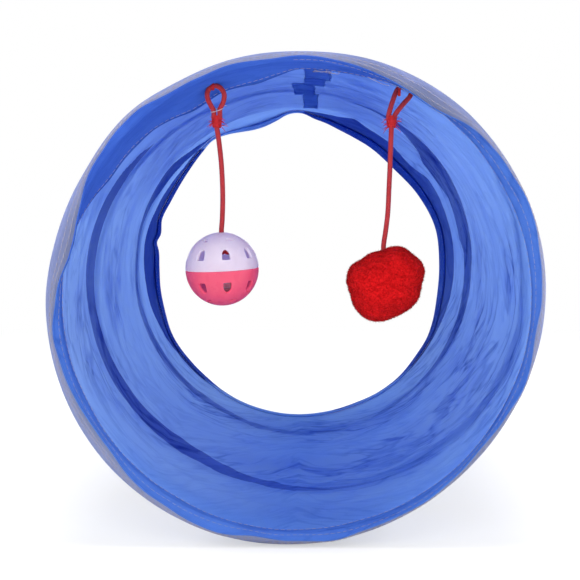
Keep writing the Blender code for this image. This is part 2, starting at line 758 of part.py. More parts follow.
def main():
    clear_scene()
    steel = make_material("spring_steel", (0.55, 0.56, 0.58), 0.35, 1.0)
    blue = make_material("blue_lining", (0.13, 0.27, 0.78), 0.55)
    dark_blue = make_material("blue_doubled", (0.06, 0.14, 0.52), 0.55)
    grey = make_material("grey_cover", (0.17, 0.20, 0.34), 0.6)
    white_thread = make_material("white_thread", (0.72, 0.70, 0.72), 0.7)
    red_cord = make_material("red_cord", (0.50, 0.03, 0.04), 0.65)
    red_felt = make_material("red_felt", (0.62, 0.015, 0.02), 0.95)
    white_plastic = make_material("white_plastic", (0.76, 0.72, 0.92), 0.3)
    pink_plastic = make_material("pink_plastic", (0.87, 0.13, 0.23), 0.3)
    bell_metal = make_material("bell_metal", (0.45, 0.44, 0.47), 0.3, 1.0)

    add_spring_wire(steel)
    joint_depth = HOOP_DEPTH + WIRE_STEP / 2
    add_ferrule("front_wire_ferrule", joint_depth, steel)
    add_ferrule("rear_wire_ferrule", TUNNEL_LENGTH - joint_depth, steel)
    add_lining(blue)
    add_cover(grey)
    add_wire_casing(dark_blue)
    add_seam_strip(dark_blue)
    for end, rear in (("front", False), ("rear", True)):
        add_hem(f"{end}_hem", rear, dark_blue)
        add_hem_thread(f"{end}_hem_stitching", HEM_STITCH_INSET, rear, white_thread)
        add_hem_thread(f"{end}_edge_stitching", 0, rear, white_thread)

    add_loop_and_tack("ball", BALL_LOOP_ROUTE, red_cord, white_thread)
    add_binding("ball", BALL_LOOP_ROUTE, BALL_CORD_ROUTE, red_cord)
    add_toy_cord("ball", BALL_CORD_ROUTE, red_cord)
    ball_side, cord_end = BALL_CORD_ROUTE[-1]
    ball_centre = hanging_point(ball_side, BALL_HEIGHT)
    knot = KNOT_DIAMETER / 2
    knot_place = hanging_point(ball_side, cord_end - FIT_GAP - knot)
    turned_body("ball_cord_knot", ball_outline(knot, 6), knot_place, 12, red_cord)
    add_ball_half("ball_upper_shell", 1, ball_centre, white_plastic)
    add_ball_half("ball_lower_shell", -1, ball_centre, pink_plastic)
    add_bell(ball_centre, bell_metal, steel)

    add_loop_and_tack("pompom", POMPOM_LOOP_ROUTE, red_cord, white_thread)
    add_binding("pompom", POMPOM_LOOP_ROUTE, POMPOM_CORD_ROUTE, red_cord)
    add_toy_cord("pompom", POMPOM_CORD_ROUTE, red_cord)
    place, radius = add_pompom(hanging_point(POMPOM_CORD_ROUTE[-1][0], POMPOM_HEIGHT), red_felt)
    turned_body("pompom_cord_knot", ball_outline(radius, 6), place, 12, red_cord)


main()
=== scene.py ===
import math

import bmesh
import bpy
import numpy as np
from mathutils import Matrix, Vector


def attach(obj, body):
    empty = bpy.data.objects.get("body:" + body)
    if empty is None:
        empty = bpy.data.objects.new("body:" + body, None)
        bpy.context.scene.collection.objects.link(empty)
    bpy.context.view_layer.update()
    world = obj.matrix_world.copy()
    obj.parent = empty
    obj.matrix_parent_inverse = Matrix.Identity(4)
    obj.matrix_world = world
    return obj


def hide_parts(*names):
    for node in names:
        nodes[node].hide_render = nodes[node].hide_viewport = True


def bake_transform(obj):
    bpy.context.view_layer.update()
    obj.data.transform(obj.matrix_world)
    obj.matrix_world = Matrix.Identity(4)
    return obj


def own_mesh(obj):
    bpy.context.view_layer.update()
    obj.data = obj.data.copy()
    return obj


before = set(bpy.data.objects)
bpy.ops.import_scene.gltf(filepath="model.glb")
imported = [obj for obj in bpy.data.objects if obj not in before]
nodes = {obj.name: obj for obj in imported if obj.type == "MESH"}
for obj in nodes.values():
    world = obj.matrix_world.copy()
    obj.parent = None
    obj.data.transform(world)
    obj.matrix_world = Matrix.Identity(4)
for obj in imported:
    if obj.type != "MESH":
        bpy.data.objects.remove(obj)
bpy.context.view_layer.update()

tunnel = {
    "length": 0.5,
    "axisHeight": 0.12572,
    "coilRadius": 0.1222,
    "mapRadius": 0.1207,  # where the cloth's maps are unrolled
    "hangDepth": 0.0245,  # of the plane that both toys hang in
    "keepFolded": 0.125,  # share of the length that is left when it is pushed flat
}


def paint(red, green, blue):
    values = [c / 255 for c in (red, green, blue)]
    return (*[c / 12.92 if c <= 0.04045 else ((c + 0.055) / 1.055) ** 2.4 for c in values], 1)


def placeOn(radius, turn, depth):  # turns run clockwise from the top, depths back from the front edge
    angle = np.radians(turn)
    x, z = radius * np.sin(angle), tunnel["axisHeight"] + radius * np.cos(angle)
    return np.stack(np.broadcast_arrays(x, depth - tunnel["length"] / 2, z), axis=-1)


def hangAt(side, height, depth=tunnel["hangDepth"]):  # measured from the tunnel's axis and front edge
    return Vector((side, depth - tunnel["length"] / 2, tunnel["axisHeight"] + height))


def addObject(name, data):
    item = bpy.data.objects.new(name, data)
    bpy.context.scene.collection.objects.link(item)
    return item


# camera

view = {
    "place": (0.0083, -1.1135, 0.17692),
    "turnLeft": 0.7424,
    "tiltDown": 3.061,
    "lens": 107.06,
}
lensData = bpy.data.cameras.new("photoCamera")
lensData.lens = view["lens"]
lensData.clip_start = 0.01
photoCamera = addObject("photoCamera", lensData)
photoCamera.location = view["place"]
photoCamera.rotation_euler = (math.radians(90 - view["tiltDown"]), 0, math.radians(view["turnLeft"]))
bpy.context.scene.camera = photoCamera
bpy.context.scene.view_settings.view_transform = "Standard"
print("camera set")


# node trees

class Value:  # a socket that can be used in a sum
    def __init__(self, sheet, socket):
        self.sheet, self.socket = sheet, socket

    def step(self, start, end):  # 0 at start, 1 at end, smooth between
        values = {"Value": self, "From Min": start, "From Max": end}
        return self.sheet.node("ShaderNodeMapRange", {"interpolation_type": "SMOOTHSTEP"}, values)


def sumOf(operation, swapped=False):
    def apply(self, other):
        return self.sheet.maths(operation, *((other, self) if swapped else (self, other)))
    return apply


for sign, operation in (("add", "ADD"), ("sub", "SUBTRACT"), ("mul", "MULTIPLY")):
    setattr(Value, f"__{sign}__", sumOf(operation))
    setattr(Value, f"__r{sign}__", sumOf(operation, swapped=True))
Value.__truediv__ = sumOf("DIVIDE")
Value.atLeast = sumOf("MAXIMUM")
Value.atMost = sumOf("MINIMUM")


class NodeSheet:  # one node tree and the single way that nodes get into it
    def __init__(self, tree):
        self.tree = tree

    def node(self, kind, settings=None, values=None, output=0):
        made = self.tree.nodes.new(kind)
        for key, setting in (settings or {}).items():
            setattr(made, key, setting)
        for key, value in (values or {}).items():
            if isinstance(value, Value):
                self.tree.links.new(value.socket, made.inputs[key])
            else:
                made.inputs[key].default_value = value
        if isinstance(output, tuple):
            return [Value(self, made.outputs[key]) for key in output]
        return Value(self, made.outputs[output]) if len(made.outputs) else None

    def mix(self, share, first, second, blend="MIX"):  # two colours
        settings = {"data_type": "RGBA", "blend_type": blend}
        return self.node("ShaderNodeMix", settings, {0: share, 6: first, 7: second}, 2)

    def tint(self, share, first, second):  # first times second
        return self.mix(share, first, second, "MULTIPLY")

    def maths(self, operation, first, second=0):
        return self.node("ShaderNodeMath", {"operation": operation}, {0: first, 1: second})

    def mapping(self, vector, scale, turn=(0, 0, 0)):
        return self.node("ShaderNodeMapping", None, {"Vector": vector, "Rotation": turn, "Scale": scale})

    def place(self, scale=(1, 1, 1)):  # a spot on the object itself
        return self.mapping(self.node("ShaderNodeTexCoord", output=3), scale)

    def spread(self, name):  # a spot on the piece's own map
        return self.node("ShaderNodeUVMap", {"uv_map": name})

    def split(self, vector):
        return self.node("ShaderNodeSeparateXYZ", None, {0: vector}, (0, 1, 2))

    def join(self, x, y, z):
        return self.node("ShaderNodeCombineXYZ", None, {0: x, 1: y, 2: z})

    def noise(self, place, scale, detail=2.0, roughness=0.5, distortion=0.0):
        return self.node("ShaderNodeTexNoise", None, {
            "Vector": place, "Scale": scale, "Detail": detail, "Roughness": roughness, "Distortion": distortion})

    def attribute(self, name):
        return self.node("ShaderNodeAttribute", {"attribute_name": name}, None, 2)

    def bump(self, height, distance, normal=None):
        values = {"Height": height, "Distance": distance, "Strength": 1.0}
        if normal:
            values["Normal"] = normal
        return self.node("ShaderNodeBump", None, values)

    def surface(self, tone, roughness, normal, **others):
        values = {"Base Color": tone, "Roughness": roughness, "Normal": normal, **others}
        return self.node("ShaderNodeBsdfPrincipled", None, values)

    def blend(self, share, first, second):  # two shaders
        return self.node("ShaderNodeMixShader", None, {0: share, 1: first, 2: second})

    def letThrough(self, share, body, color, normal):  # part of the light comes through from behind
        through = self.node("ShaderNodeBsdfTranslucent", None, {"Color": color, "Normal": normal})
        return self.blend(share, body, through)


def newFinish(name):
    material = bpy.data.materials.new(name)
    material.use_nodes = True
    material.node_tree.nodes.clear()
    return material, NodeSheet(material.node_tree)


def finishWith(material, sheet, shader):
    sheet.node("ShaderNodeOutputMaterial", None, {"Surface": shader})
    return material


def clothFinish(look):
    material, sheet = newFinish(look["name"])
    warp = sheet.noise(sheet.place((9, 9, 9)), 1)
    wander = sheet.noise(sheet.place((15, 11, 15)), 1, 2, 0.45)
    side, back, height = sheet.split(sheet.place())
    if look["layered"]:
        back = sheet.attribute("slant")
    across = sheet.join(side, back + (wander - 0.5) * look["wander"], height)
    wide, deep = look["creaseScale"]
    creases = sheet.noise(sheet.mapping(across, (wide, deep, wide), look["creaseTurn"]), 1, 3, 0.55, 0.3)
    wide, deep = wide * 2.2, deep * 2.2
    fine = sheet.noise(sheet.mapping(across, (wide, deep, wide), (0.06, 0, 0.05)), 1, 2, 0.5, 0.4)
    warpThreads, weftThreads = [
        sheet.node("ShaderNodeTexWave", {"bands_direction": way},
                   {"Vector": sheet.mapping(sheet.spread("clothMap"), (1, 1, 1)), "Scale": look["threads"]})
        for way in "XY"]
    threads = warpThreads * weftThreads
    tone = sheet.mix(warp.step(0.35, 0.7), look["color"], look["colorSoft"])
    slack = 0.6
    if look["layered"]:
        slack = sheet.attribute("slack") * 0.7 + 0.3
        # painted light and shade by place, from the tint attribute
        tint = sheet.attribute("tint")
        paintedShade = (tint * -1).atLeast(0)
        tone = sheet.mix(tint.atLeast(0), tone, look["colorPaintedLight"])
        tone = sheet.mix(paintedShade, tone, look["colorPaintedShade"])
        # painted shade of doubled cloth: where more cloth lies behind, less light comes through, and this is
        # painted as a darker blue
        edge = sheet.attribute("layers") + (fine - 0.5) * look["edgeRough"]
        edge = edge.step(-look["edgeWidth"], look["edgeWidth"])
        doubled = edge * sheet.attribute("layerShade")
        tone = sheet.mix(doubled * look["doubledShadeShare"], tone, look["colorDoubledShade"])
    lines, fineLines = [
        1 - sheet.maths("ABSOLUTE", folds - 0.5).step(0.0, look["lineWidth"]) for folds in (creases, fine)]
    # painted crease shade: soft creases and thin crease lines are darkened in the colour
    creaseShade = creases.step(0.56, 0.36) * look["creaseShare"]
    drawn = lines * look["lineShare"] + fineLines * look["fineShare"]
    creaseShade = creaseShade + drawn * (warp.step(0.40, 0.60) * 0.6 + 0.4)
    creaseShade = (creaseShade * slack).atMost(1)  # painted shade where the cloth is pinched into creases
    tone = sheet.tint(creaseShade, tone, look["creaseShadeColor"])
    tone = sheet.tint(0.5, tone, sheet.mix(threads.step(0.0, 0.5), look["weaveColor"], (1, 1, 1, 1)))
    normal = None
    for relief, height in ((creases, "creaseHeight"), (fine, "fineHeight"), (threads, "weaveHeight")):
        normal = sheet.bump(relief, look[height], normal)
    body = sheet.surface(tone, creases * 0.12 + look["roughness"], normal, **{"Specular IOR Level": 0.0})
    # less light comes through where crease shade is painted
    share = look["through"] * (1 - creaseShade * look["creaseShadeStop"])
    if look["layered"]:
        share = share * (1 - doubled * look["doubledStop"]) * (1 - paintedShade * look["paintedShadeStop"])
    return finishWith(material, sheet, sheet.letThrough(share, body, look["throughColor"], normal))


# meshes

def shadeSmooth(data):
    data.polygons.foreach_set("use_smooth", [True] * len(data.polygons))


def addMesh(name, points, faces, material):
    data = bpy.data.meshes.new(name)
    data.from_pydata([tuple(p) for p in points], [], faces)
    data.materials.append(material)
    shadeSmooth(data)
    data.validate()
    data.update()
    return addObject(name, data)


def addSolid(name, mesh, material):  # a bmesh as a piece
    data = bpy.data.meshes.new(name)
    mesh.to_mesh(data)
    mesh.free()
    data.materials.append(material)
    shadeSmooth(data)
    return addObject(name, data)


def flatMap(item):  # the cloth's map, laid flat over the piece
    data = item.data
    spots = [v for loop in data.loops for v in data.vertices[loop.vertex_index].co[:2]]
    data.uv_layers.new(name="clothMap").data.foreach_set("uv", spots)


def ringSolid(name, turns, radius, depth, material, floorGap=None):
    # a solid turned round the tunnel: its outline runs back along the outside, forward along the inside
    rows, count = radius.shape
    points = placeOn(radius, turns[None, :], depth).reshape(-1, 3)
    if floorGap is not None:
        points[:, 2] = np.maximum(points[:, 2], floorGap.ravel())
    k, j = np.meshgrid(np.arange(rows), np.arange(count), indexing="ij")
    k, j = k.ravel(), j.ravel()
    k2, j2 = (k + 1) % rows, (j + 1) % count
    faces = np.stack([k * count + j, k * count + j2, k2 * count + j2, k2 * count + j], axis=1)
    item = addMesh(name, points.tolist(), faces.tolist(), material)
    around = math.tau * tunnel["mapRadius"] / count
    corners = np.empty((len(faces), 4, 2))
    corners[:, :, 0] = np.stack([j, j + 1, j + 1, j], axis=1) * around
    corners[:, :, 1] = depth.ravel()[faces]
    item.data.uv_layers.new(name="clothMap").data.foreach_set("uv", corners.ravel())
    return item


def ringRows(rows, grid):  # rows of radius and depth as two arrays
    return [np.concatenate([np.broadcast_to(row[side], grid.shape) for row in rows]) for side in (0, 1)]


def ringTurns(count):
    return np.arange(count) * 360 / count


def wearBack(item, around, rows, material):  # the hidden side of a cloth, given as rows of its faces
    item.data.materials.append(material)
    marks = np.zeros(len(item.data.polygons), int)
    for row in rows:
        marks[row * around:(row + 1) * around] = 1
    item.data.polygons.foreach_set("material_index", marks)


def clothSlack(turn, depth):  # where the lining is creased most
    place = np.mod(turn, 360)
    low = np.exp(-(((place - 150) / 48) ** 2)) * np.exp(-(((depth - 0.24) / 0.16) ** 2))
    side = 0.75 * np.exp(-(((place - 80) / 40) ** 2)) + 0.55 * np.exp(-(((place - 225) / 40) ** 2))
    return np.clip(0.12 + low + side + 0.35 * softNoise(turn, depth, 9, 7, 19), 0, 1)


def creaseSlant(turn, depth):  # depths that run askew where the creases do
    place = np.mod(turn, 360)
    return depth - 0.0020 * np.clip(place - 100, 0, 80) + 0.0040 * np.clip(place - 180, 0, 40)


paintedLightStops = {  # painted light and shade on the lining, by turn
    # painted sheen, most at the bottom
    "paintedSheen": {
        0: 0, 60: 0, 90: 0, 110: .22, 130: .22, 150: .12, 165: .35, 180: .25, 200: .6, 225: .6, 250: .4,
        270: .2, 290: .05, 310: 0,
    },
    # painted shade toward the top, in front
    "deep": {0: .5, 20: .6, 35: .25, 60: .05, 90: 0, 180: 0, 285: 0, 305: .3, 320: .45, 340: .5},
    # painted light and shade at the rear
    "behind": {0: .3, 40: .4, 60: .4, 90: .2, 110: -.2, 180: 0, 220: -.2, 250: 0, 320: .1, 340: .2},
    # painted light at the near left, lifting a shadow there
    "near": {0: 0, 220: 0, 240: .4, 258: .65, 275: .5, 295: 0},
}


def paintedClothLight(turn, depth):  # painted light and shade: above 0 the lining is painted paler, below 0 painted deeper
    paintedSheen, deep, behind, near = (aroundRing(stops, turn) for stops in paintedLightStops.values())
    share = smoothStep((depth - 0.36) / 0.06)
    near = near * (1 - smoothStep((depth - 0.09) / 0.05))
    return np.maximum(paintedSheen * smoothStep((depth - 0.03) / 0.05), near) - deep * (1 - share) - behind * share


def writeLayers(item, *values):
    # the last attribute, tint, carries the painted light and shade
    for name, numbers in zip(("layers", "layerShade", "slack", "slant", "tint"), values):
        data = item.data.attributes.new(name, "FLOAT", "POINT")
        data.data.foreach_set("value", np.broadcast_to(numbers, values[0].shape).astype(np.float32).ravel())


def smoothStep(value):
    share = np.clip(value, 0, 1)
    return share * share * (3 - 2 * share)


def curveThrough(xs, ys, at):
    slopes = np.gradient(ys, xs)
    i = np.clip(np.searchsorted(xs, at, side="right") - 1, 0, len(xs) - 2)
    width = xs[i + 1] - xs[i]
    t = (at - xs[i]) / width
    start = ys[i] * (1 + 2 * t) * (1 - t) ** 2 + slopes[i] * width * t * (1 - t) ** 2
    return start + ys[i + 1] * t * t * (3 - 2 * t) + slopes[i + 1] * width * t * t * (t - 1)


def columns(stops):
    return np.array(list(stops), float), np.array(list(stops.values()), float)


def aroundRing(stops, turn):  # a value given at some turns, smooth all the way round
    xs, ys = columns(stops)
    xs = np.concatenate([xs[-3:] - 360, xs, xs[:3] + 360])
    ys = np.concatenate([ys[-3:], ys, ys[:3]])
    return curveThrough(xs, ys, np.mod(turn, 360))


def softNoise(turn, depth, cells, rows, seed):
    # smooth random heights from about -1 to 1 that close round the ring
    grid = np.random.default_rng(seed).uniform(-1.5, 1.5, (cells, rows + 4))
    u = np.mod(turn, 360) / 360 * cells
    v = np.clip(depth / tunnel["length"], 0, 1) * rows
    u, v = np.broadcast_arrays(u, v)
    iu, iv = np.floor(u).astype(int), np.minimum(np.floor(v).astype(int), rows - 1)
    total = np.zeros(u.shape)
    for a, wa in enumerate(splineWeights(u - iu)):
        for b, wb in enumerate(splineWeights(v - iv)):
            total += wa * wb * grid[(iu + a) % cells, iv + b]
    return total


def splineWeights(t):
    inner, outer = 3 * t**3 - 6 * t * t + 4, -3 * t**3 + 3 * t * t + 3 * t + 1
    return (1 - t) ** 3 / 6, inner / 6, outer / 6, t**3 / 6


# the wire's path, which everything else is hung on

wire = {
    "hoopDepth": 0.008,
    "hoopStep": 0.0021,  # how much deeper the hoop lies at its end
    "shares": (0, 0.09, 0.285, 0.31, 0.52, 0.75, 0.80, 0.81, 1),  # depth along the two open turns
    "coilStart": 365,
    "coilEnd": 1075,
    "allTurns": 1440,
}


def easedShare(values, place):
    steps = [after - before for before, after in zip(values, values[1:])]
    slopes = [0, *[2 * a * b / (a + b) if a * b > 0 else 0 for a, b in zip(steps, steps[1:])], 0]
    i = min(int(place), len(steps) - 1)
    t = place - i
    eased = values[i] + steps[i] * t * t * (3 - 2 * t)
    return eased + slopes[i] * t * (1 - t) ** 2 - slopes[i + 1] * t * t * (1 - t)


def hoopDepth(turn):
    return wire["hoopDepth"] + wire["hoopStep"] * float(smoothStep((turn - 240) / 105))


def wireDepth(turn):
    if turn <= wire["coilStart"]:
        return hoopDepth(turn)
    if turn >= wire["coilEnd"]:
        return tunnel["length"] - hoopDepth(wire["allTurns"] - turn)
    start = hoopDepth(wire["coilStart"])
    place = (turn - wire["coilStart"]) / (wire["coilEnd"] - wire["coilStart"]) * (len(wire["shares"]) - 1)
    return start + (tunnel["length"] - 2 * start) * easedShare(wire["shares"], place)


wireTurns = np.arange(-5, 1446, 2.5)
wireDepths = np.array([wireDepth(t) for t in wireTurns])


def wireNearest(turn, depth):  # how far the wire is along the tunnel
    passes = [np.interp(np.mod(turn, 360) + 360 * k, wireTurns, wireDepths) for k in range(4)]
    return np.min([np.abs(depth - at) for at in passes], axis=0)


def drawnIn(turn, depth):  # the cloth is drawn in between two turns of the wire
    return 0.004 * smoothStep((wireNearest(turn, depth) - 0.040) / 0.070)


# cords and their routes, from the tunnel's axis in metres

cords = {
    "diameter": 0.0026,
    "ballLoop": (
        (-0.0423, 0.0911), (-0.0423, 0.0935), (-0.0424, 0.0958), (-0.0441, 0.0990), (-0.0456, 0.1026),
        (-0.0452, 0.1062), (-0.0425, 0.1085), (-0.0391, 0.1076), (-0.0370, 0.1044), (-0.0374, 0.1004),
        (-0.0391, 0.0966), (-0.0392, 0.0935), (-0.0392, 0.0911),
    ),
    "ballStrand": (
        (-0.04075, 0.0876), (-0.04075, 0.0869), (-0.0397, 0.0800), (-0.0386, 0.0700), (-0.0380, 0.0600),
        (-0.0378, 0.0500), (-0.0381, 0.0400), (-0.0385, 0.0345), (-0.0384, 0.0268),
    ),
    "pompomLoop": (
        (0.0473, 0.0911), (0.0473, 0.0930), (0.0478, 0.0954), (0.0486, 0.0982), (0.0495, 0.1010, 0.0246),
        (0.0505, 0.1038, 0.0251), (0.0516, 0.1061, 0.0259), (0.0533, 0.1077, 0.0266),
        (0.0556, 0.1080, 0.0269), (0.0578, 0.1070, 0.0266), (0.0589, 0.1052, 0.0259),
        (0.0582, 0.1030, 0.0251), (0.0564, 0.1009, 0.0246), (0.0543, 0.0985), (0.0521, 0.0958),
        (0.0505, 0.0933), (0.0504, 0.0911),
    ),
    "pompomStrand": (
        (0.0488, 0.0876), (0.0488, 0.0869), (0.0485, 0.0790), (0.0481, 0.0670), (0.0476, 0.0550),
        (0.0471, 0.0440), (0.0461, 0.0350), (0.0452, 0.0290), (0.0449, 0.0250), (0.0454, 0.0180),
        (0.0458, 0.0096),
    ),
    "step": 0.0008,
    "sides": 20,
}


def smoothRoute(route):
    spots = [hangAt(*spot) for spot in route]
    ends = [2 * spots[0] - spots[1], *spots, 2 * spots[-1] - spots[-2]]
    path = []
    for a, b, c, d in zip(ends, ends[1:], ends[2:], ends[3:]):
        count = max(1, math.ceil((c - b).length / cords["step"]))
        for i in range(count):
            t = i / count
            bend = (2 * a - 5 * b + 4 * c - d) * t * t + (3 * b - a - 3 * c + d) * t**3
            path.append(b + ((c - a) * t + bend) / 2)
    return [*path, spots[-1]]


def tubeAlong(name, path, radii, sides, material, closed=False):
    # a round tube with capped ends whose own map runs along it
    count = len(path)
    tangents = []
    for i in range(count):
        before = path[(i - 1) % count] if closed else path[max(i - 1, 0)]
        after = path[(i + 1) % count] if closed else path[min(i + 1, count - 1)]
        tangents.append((after - before).normalized())
    first = tangents[0].cross(Vector((0, 1, 0)))
    if first.length < 0.2:
        first = tangents[0].cross(Vector((1, 0, 0)))
    normal = first.normalized()
    points, lengths, run = [], [], 0.0
    for i, (spot, tangent) in enumerate(zip(path, tangents)):
        normal = (normal - tangent * normal.dot(tangent)).normalized()
        side = tangent.cross(normal)
        radius = radii[i] if hasattr(radii, "__len__") else radii
        for s in range(sides):
            angle = math.tau * s / sides
            points.append(spot + radius * (math.cos(angle) * normal + math.sin(angle) * side))
        run += (spot - path[i - 1]).length if i else 0
        lengths.append(run)
    faces, corners = [], []
    for i in range(count if closed else count - 1):
        n = (i + 1) % count
        start, end = lengths[i], lengths[n] if n else run + (path[0] - path[-1]).length
        for s in range(sides):
            t = (s + 1) % sides
            faces.append((i * sides + s, i * sides + t, n * sides + t, n * sides + s))
            left, right = s / sides, (s + 1) / sides
            corners += [(left, start), (right, start), (right, end), (left, end)]
    if not closed:
        points += [path[0], path[-1]]
        for s in range(sides):
            t = (s + 1) % sides
            faces.append((t, s, len(points) - 2))
            faces.append(((count - 1) * sides + s, (count - 1) * sides + t, len(points) - 1))
            corners += [(s / sides, 0)] * 3 + [(s / sides, run)] * 3
    item = addMesh(name, points, faces, material)
    item.data.uv_layers.new(name="cordMap").data.foreach_set("uv", np.array(corners, float).ravel())
    return item


# finishes

liningLook = {
    "name": "blueLining",
    "color": paint(102, 158, 255),
    "colorSoft": paint(94, 147, 249),
    # painted shade of doubled cloth
    "colorDoubledShade": paint(8, 48, 164),
    # colours of the painted light and the painted shade
    "colorPaintedLight": paint(150, 184, 250),
    "colorPaintedShade": paint(46, 98, 216),
    "doubledShadeShare": 0.95,
    "doubledStop": 0.88,
    # colour of the painted crease shade
    "creaseShadeColor": (0.30, 0.40, 0.62, 1),
    "creaseShare": 0.15,
    "lineShare": 0.75,
    "lineWidth": 0.060,
    "fineShare": 0.45,
    "creaseShadeStop": 0.7,
    "paintedShadeStop": 0.9,
    "wander": 0.05,
    "weaveColor": (0.90, 0.92, 0.96, 1),
    "creaseScale": (15, 24),  # round the tunnel and along it
    "creaseTurn": (0.07, 0, -0.05),
    "creaseHeight": 0.0010,
    "fineHeight": 0.0005,
    "weaveHeight": 0.00003,
    "threads": 420,
    "edgeRough": 0.004,
    "edgeWidth": 0.0007,
    "roughness": 0.40,
    "through": 0.53,
    "throughColor": paint(172, 216, 255),
    "layered": True,
}
# the hem is the lining's cloth folded over the hoop; its darker colours are painted shade of the doubled cloth
hemLook = {
    **liningLook,
    "name": "blueHem",
    "color": paint(88, 132, 216),
    "colorSoft": paint(80, 124, 210),
    "colorDoubledShade": paint(67, 106, 202),
    "doubledShadeShare": 1.0,
    "lineShare": 0.5,
    "wander": 0.01,
    "creaseScale": (22, 70),
    "creaseHeight": 0.0014,
    "edgeRough": 0.0,
    "edgeWidth": 1.0,
    "through": 0.32,
}
# the seam strip is real cloth; its darker blue is painted shade of the doubled cloth
seamLook = {
    **liningLook,
    "name": "blueSeam",
    "color": paint(64, 94, 194),
    "colorSoft": paint(74, 106, 208),
    "wander": 0.004,
    "creaseScale": (16, 95),
    "creaseHeight": 0.0008,
    "through": 0.5,
    "layered": False,
}
tapeLook = {
    **seamLook,
    "name": "blueTape",
    "creaseScale": (30, 60),
    "through": 0.92,
    "throughColor": (1, 1, 1, 1),
}
coverLook = {
    **liningLook,
    "name": "greyCover",
    "color": paint(152, 161, 188),
    "colorSoft": paint(134, 143, 171),
    # colour of the painted crease shade on the cover
    "creaseShadeColor": (0.62, 0.64, 0.72, 1),
    "creaseShare": 0.5,
    "lineShare": 0.4,
    "creaseShadeStop": 0.2,
    "wander": 0.02,
    "creaseScale": (12, 60),
    "creaseHeight": 0.0030,
    "roughness": 0.42,
    "through": 0.55,
    "throughColor": paint(232, 230, 246),
    "layered": False,
}
backLook = {"through": 0.93, "throughColor": (1, 1, 1, 1), "layered": False}  # lets the light by
liningBackLook = {
    **liningLook,
    **backLook,
    "name": "blueLiningBack",
    "color": paint(150, 180, 245),
    "colorSoft": paint(140, 172, 240),
}
coverBackLook = {**coverLook, **backLook, "name": "greyCoverBack"}


def cordFinish(look):  # fine crossing braid round a cord
    material, sheet = newFinish(look["name"])
    around, along = sheet.split(sheet.spread("cordMap"))[:2]
    turn = around * look["strands"]
    run = along * look["picks"]
    one, two = (sheet.maths("SINE", wave * math.tau) for wave in (turn + run, turn - run))
    braid = one * two * 0.5 + 0.5
    soft = sheet.noise(sheet.place(), 380, 3)
    tone = sheet.mix(braid.step(0.05, 0.75), look["colorShade"], look["color"])
    tone = sheet.tint(0.45, tone, sheet.mix(soft, (0.72, 0.66, 0.66, 1), (1, 1, 1, 1)))
    normal = sheet.bump(braid, look["height"])
    body = sheet.surface(tone, soft * 0.25 + look["roughness"], normal, **{"Sheen Weight": 0.1})
    return finishWith(material, sheet, body)


cordLook = {
    "name": "redCord",
    "color": paint(198, 32, 42),
    "colorShade": paint(132, 16, 26),
    "strands": 8,
    "picks": 900,
    "height": 0.00016,
    "roughness": 0.5,
}


def feltFinish(look):
    material, sheet = newFinish(look["name"])
    curls = sheet.noise(sheet.place(), look["curls"], 4, 0.65, 1.2)
    patches = sheet.noise(sheet.place(), 90)
    tone = sheet.mix(curls.step(0.32, 0.66), look["colorShade"], look["color"])
    tone = sheet.tint(0.5, tone, sheet.mix(patches, (0.75, 0.7, 0.7, 1), (1, 1, 1, 1)))
    soft = {"Sheen Weight": look["sheen"], "Sheen Roughness": 0.6, "Sheen Tint": (1.0, 0.3, 0.3, 1)}
    body = sheet.surface(tone, 0.9, sheet.bump(curls, look["height"]), **soft, **{"Specular IOR Level": 0.0})
    return finishWith(material, sheet, body)


feltLook = {
    "name": "redFelt",
    "color": paint(223, 27, 31),
    "colorShade": paint(174, 12, 16),
    "curls": 620,
    "height": 0.0006,
    "sheen": 0.06,
}


def grainFinish(look):  # thread, plastic and metal: two close colours over a fine grain
    material, sheet = newFinish(look["name"])
    grain = sheet.noise(sheet.place(), look["grain"], look["detail"], look["grainRough"])
    share = grain.step(*look["contrast"]) if look["contrast"] else grain
    tone = sheet.mix(share, look["low"], look["high"])
    normal = sheet.bump(grain, look["height"])
    body = sheet.surface(tone, grain * look["vary"] + look["roughness"], normal, **look["constants"])
    if look["through"]:
        body = sheet.letThrough(look["through"], body, look["throughColor"], normal)
    return finishWith(material, sheet, body)


threadLook = {
    "name": "whiteThread",
    "low": paint(206, 198, 200),  # where the grain is low
    "high": paint(166, 154, 160),
    "grain": 2600,
    "detail": 2,
    "grainRough": 0.5,
    "contrast": None,
    "height": 0.0001,
    "roughness": 0.6,
    "vary": 0.2,
    "constants": {},
    "through": 0,
}
fibreLook = {
    **threadLook,
    "name": "redFibre",
    "low": paint(206, 30, 36),
    "high": paint(160, 20, 28),
    "grain": 900,
    "roughness": 0.8,
}
whiteLook = {
    **threadLook,
    "name": "whitePlastic",
    "low": paint(236, 233, 249),
    "high": paint(244, 243, 252),
    "grain": 160,
    "detail": 3,
    "height": 0.00002,
    "roughness": 0.22,
    "vary": 0.12,
    "constants": {"Coat Weight": 0.25, "Coat Roughness": 0.12},
    "through": 0.62,
    "throughColor": paint(247, 243, 252),
}
pinkLook = {
    **whiteLook,
    "name": "pinkPlastic",
    "low": paint(254, 108, 144),
    "high": paint(255, 122, 156),
    "through": 0.6,
    "throughColor": paint(255, 148, 176),
}
steelLook = {
    **threadLook,
    "name": "springSteel",
    "low": paint(140, 142, 148),
    "high": paint(176, 178, 182),
    "grain": 700,
    "detail": 4,
    "grainRough": 0.6,
    "contrast": (0.3, 0.7),
    "height": 0.00002,
    "roughness": 0.25,
    "vary": 0.25,
    "constants": {"Metallic": 1.0},
}
bellLook = {
    **steelLook,
    "name": "bellMetal",
    "low": paint(150, 148, 156),
    "high": paint(190, 188, 194),
    "grain": 300,
    "height": 0.00003,
    "roughness": 0.2,
}

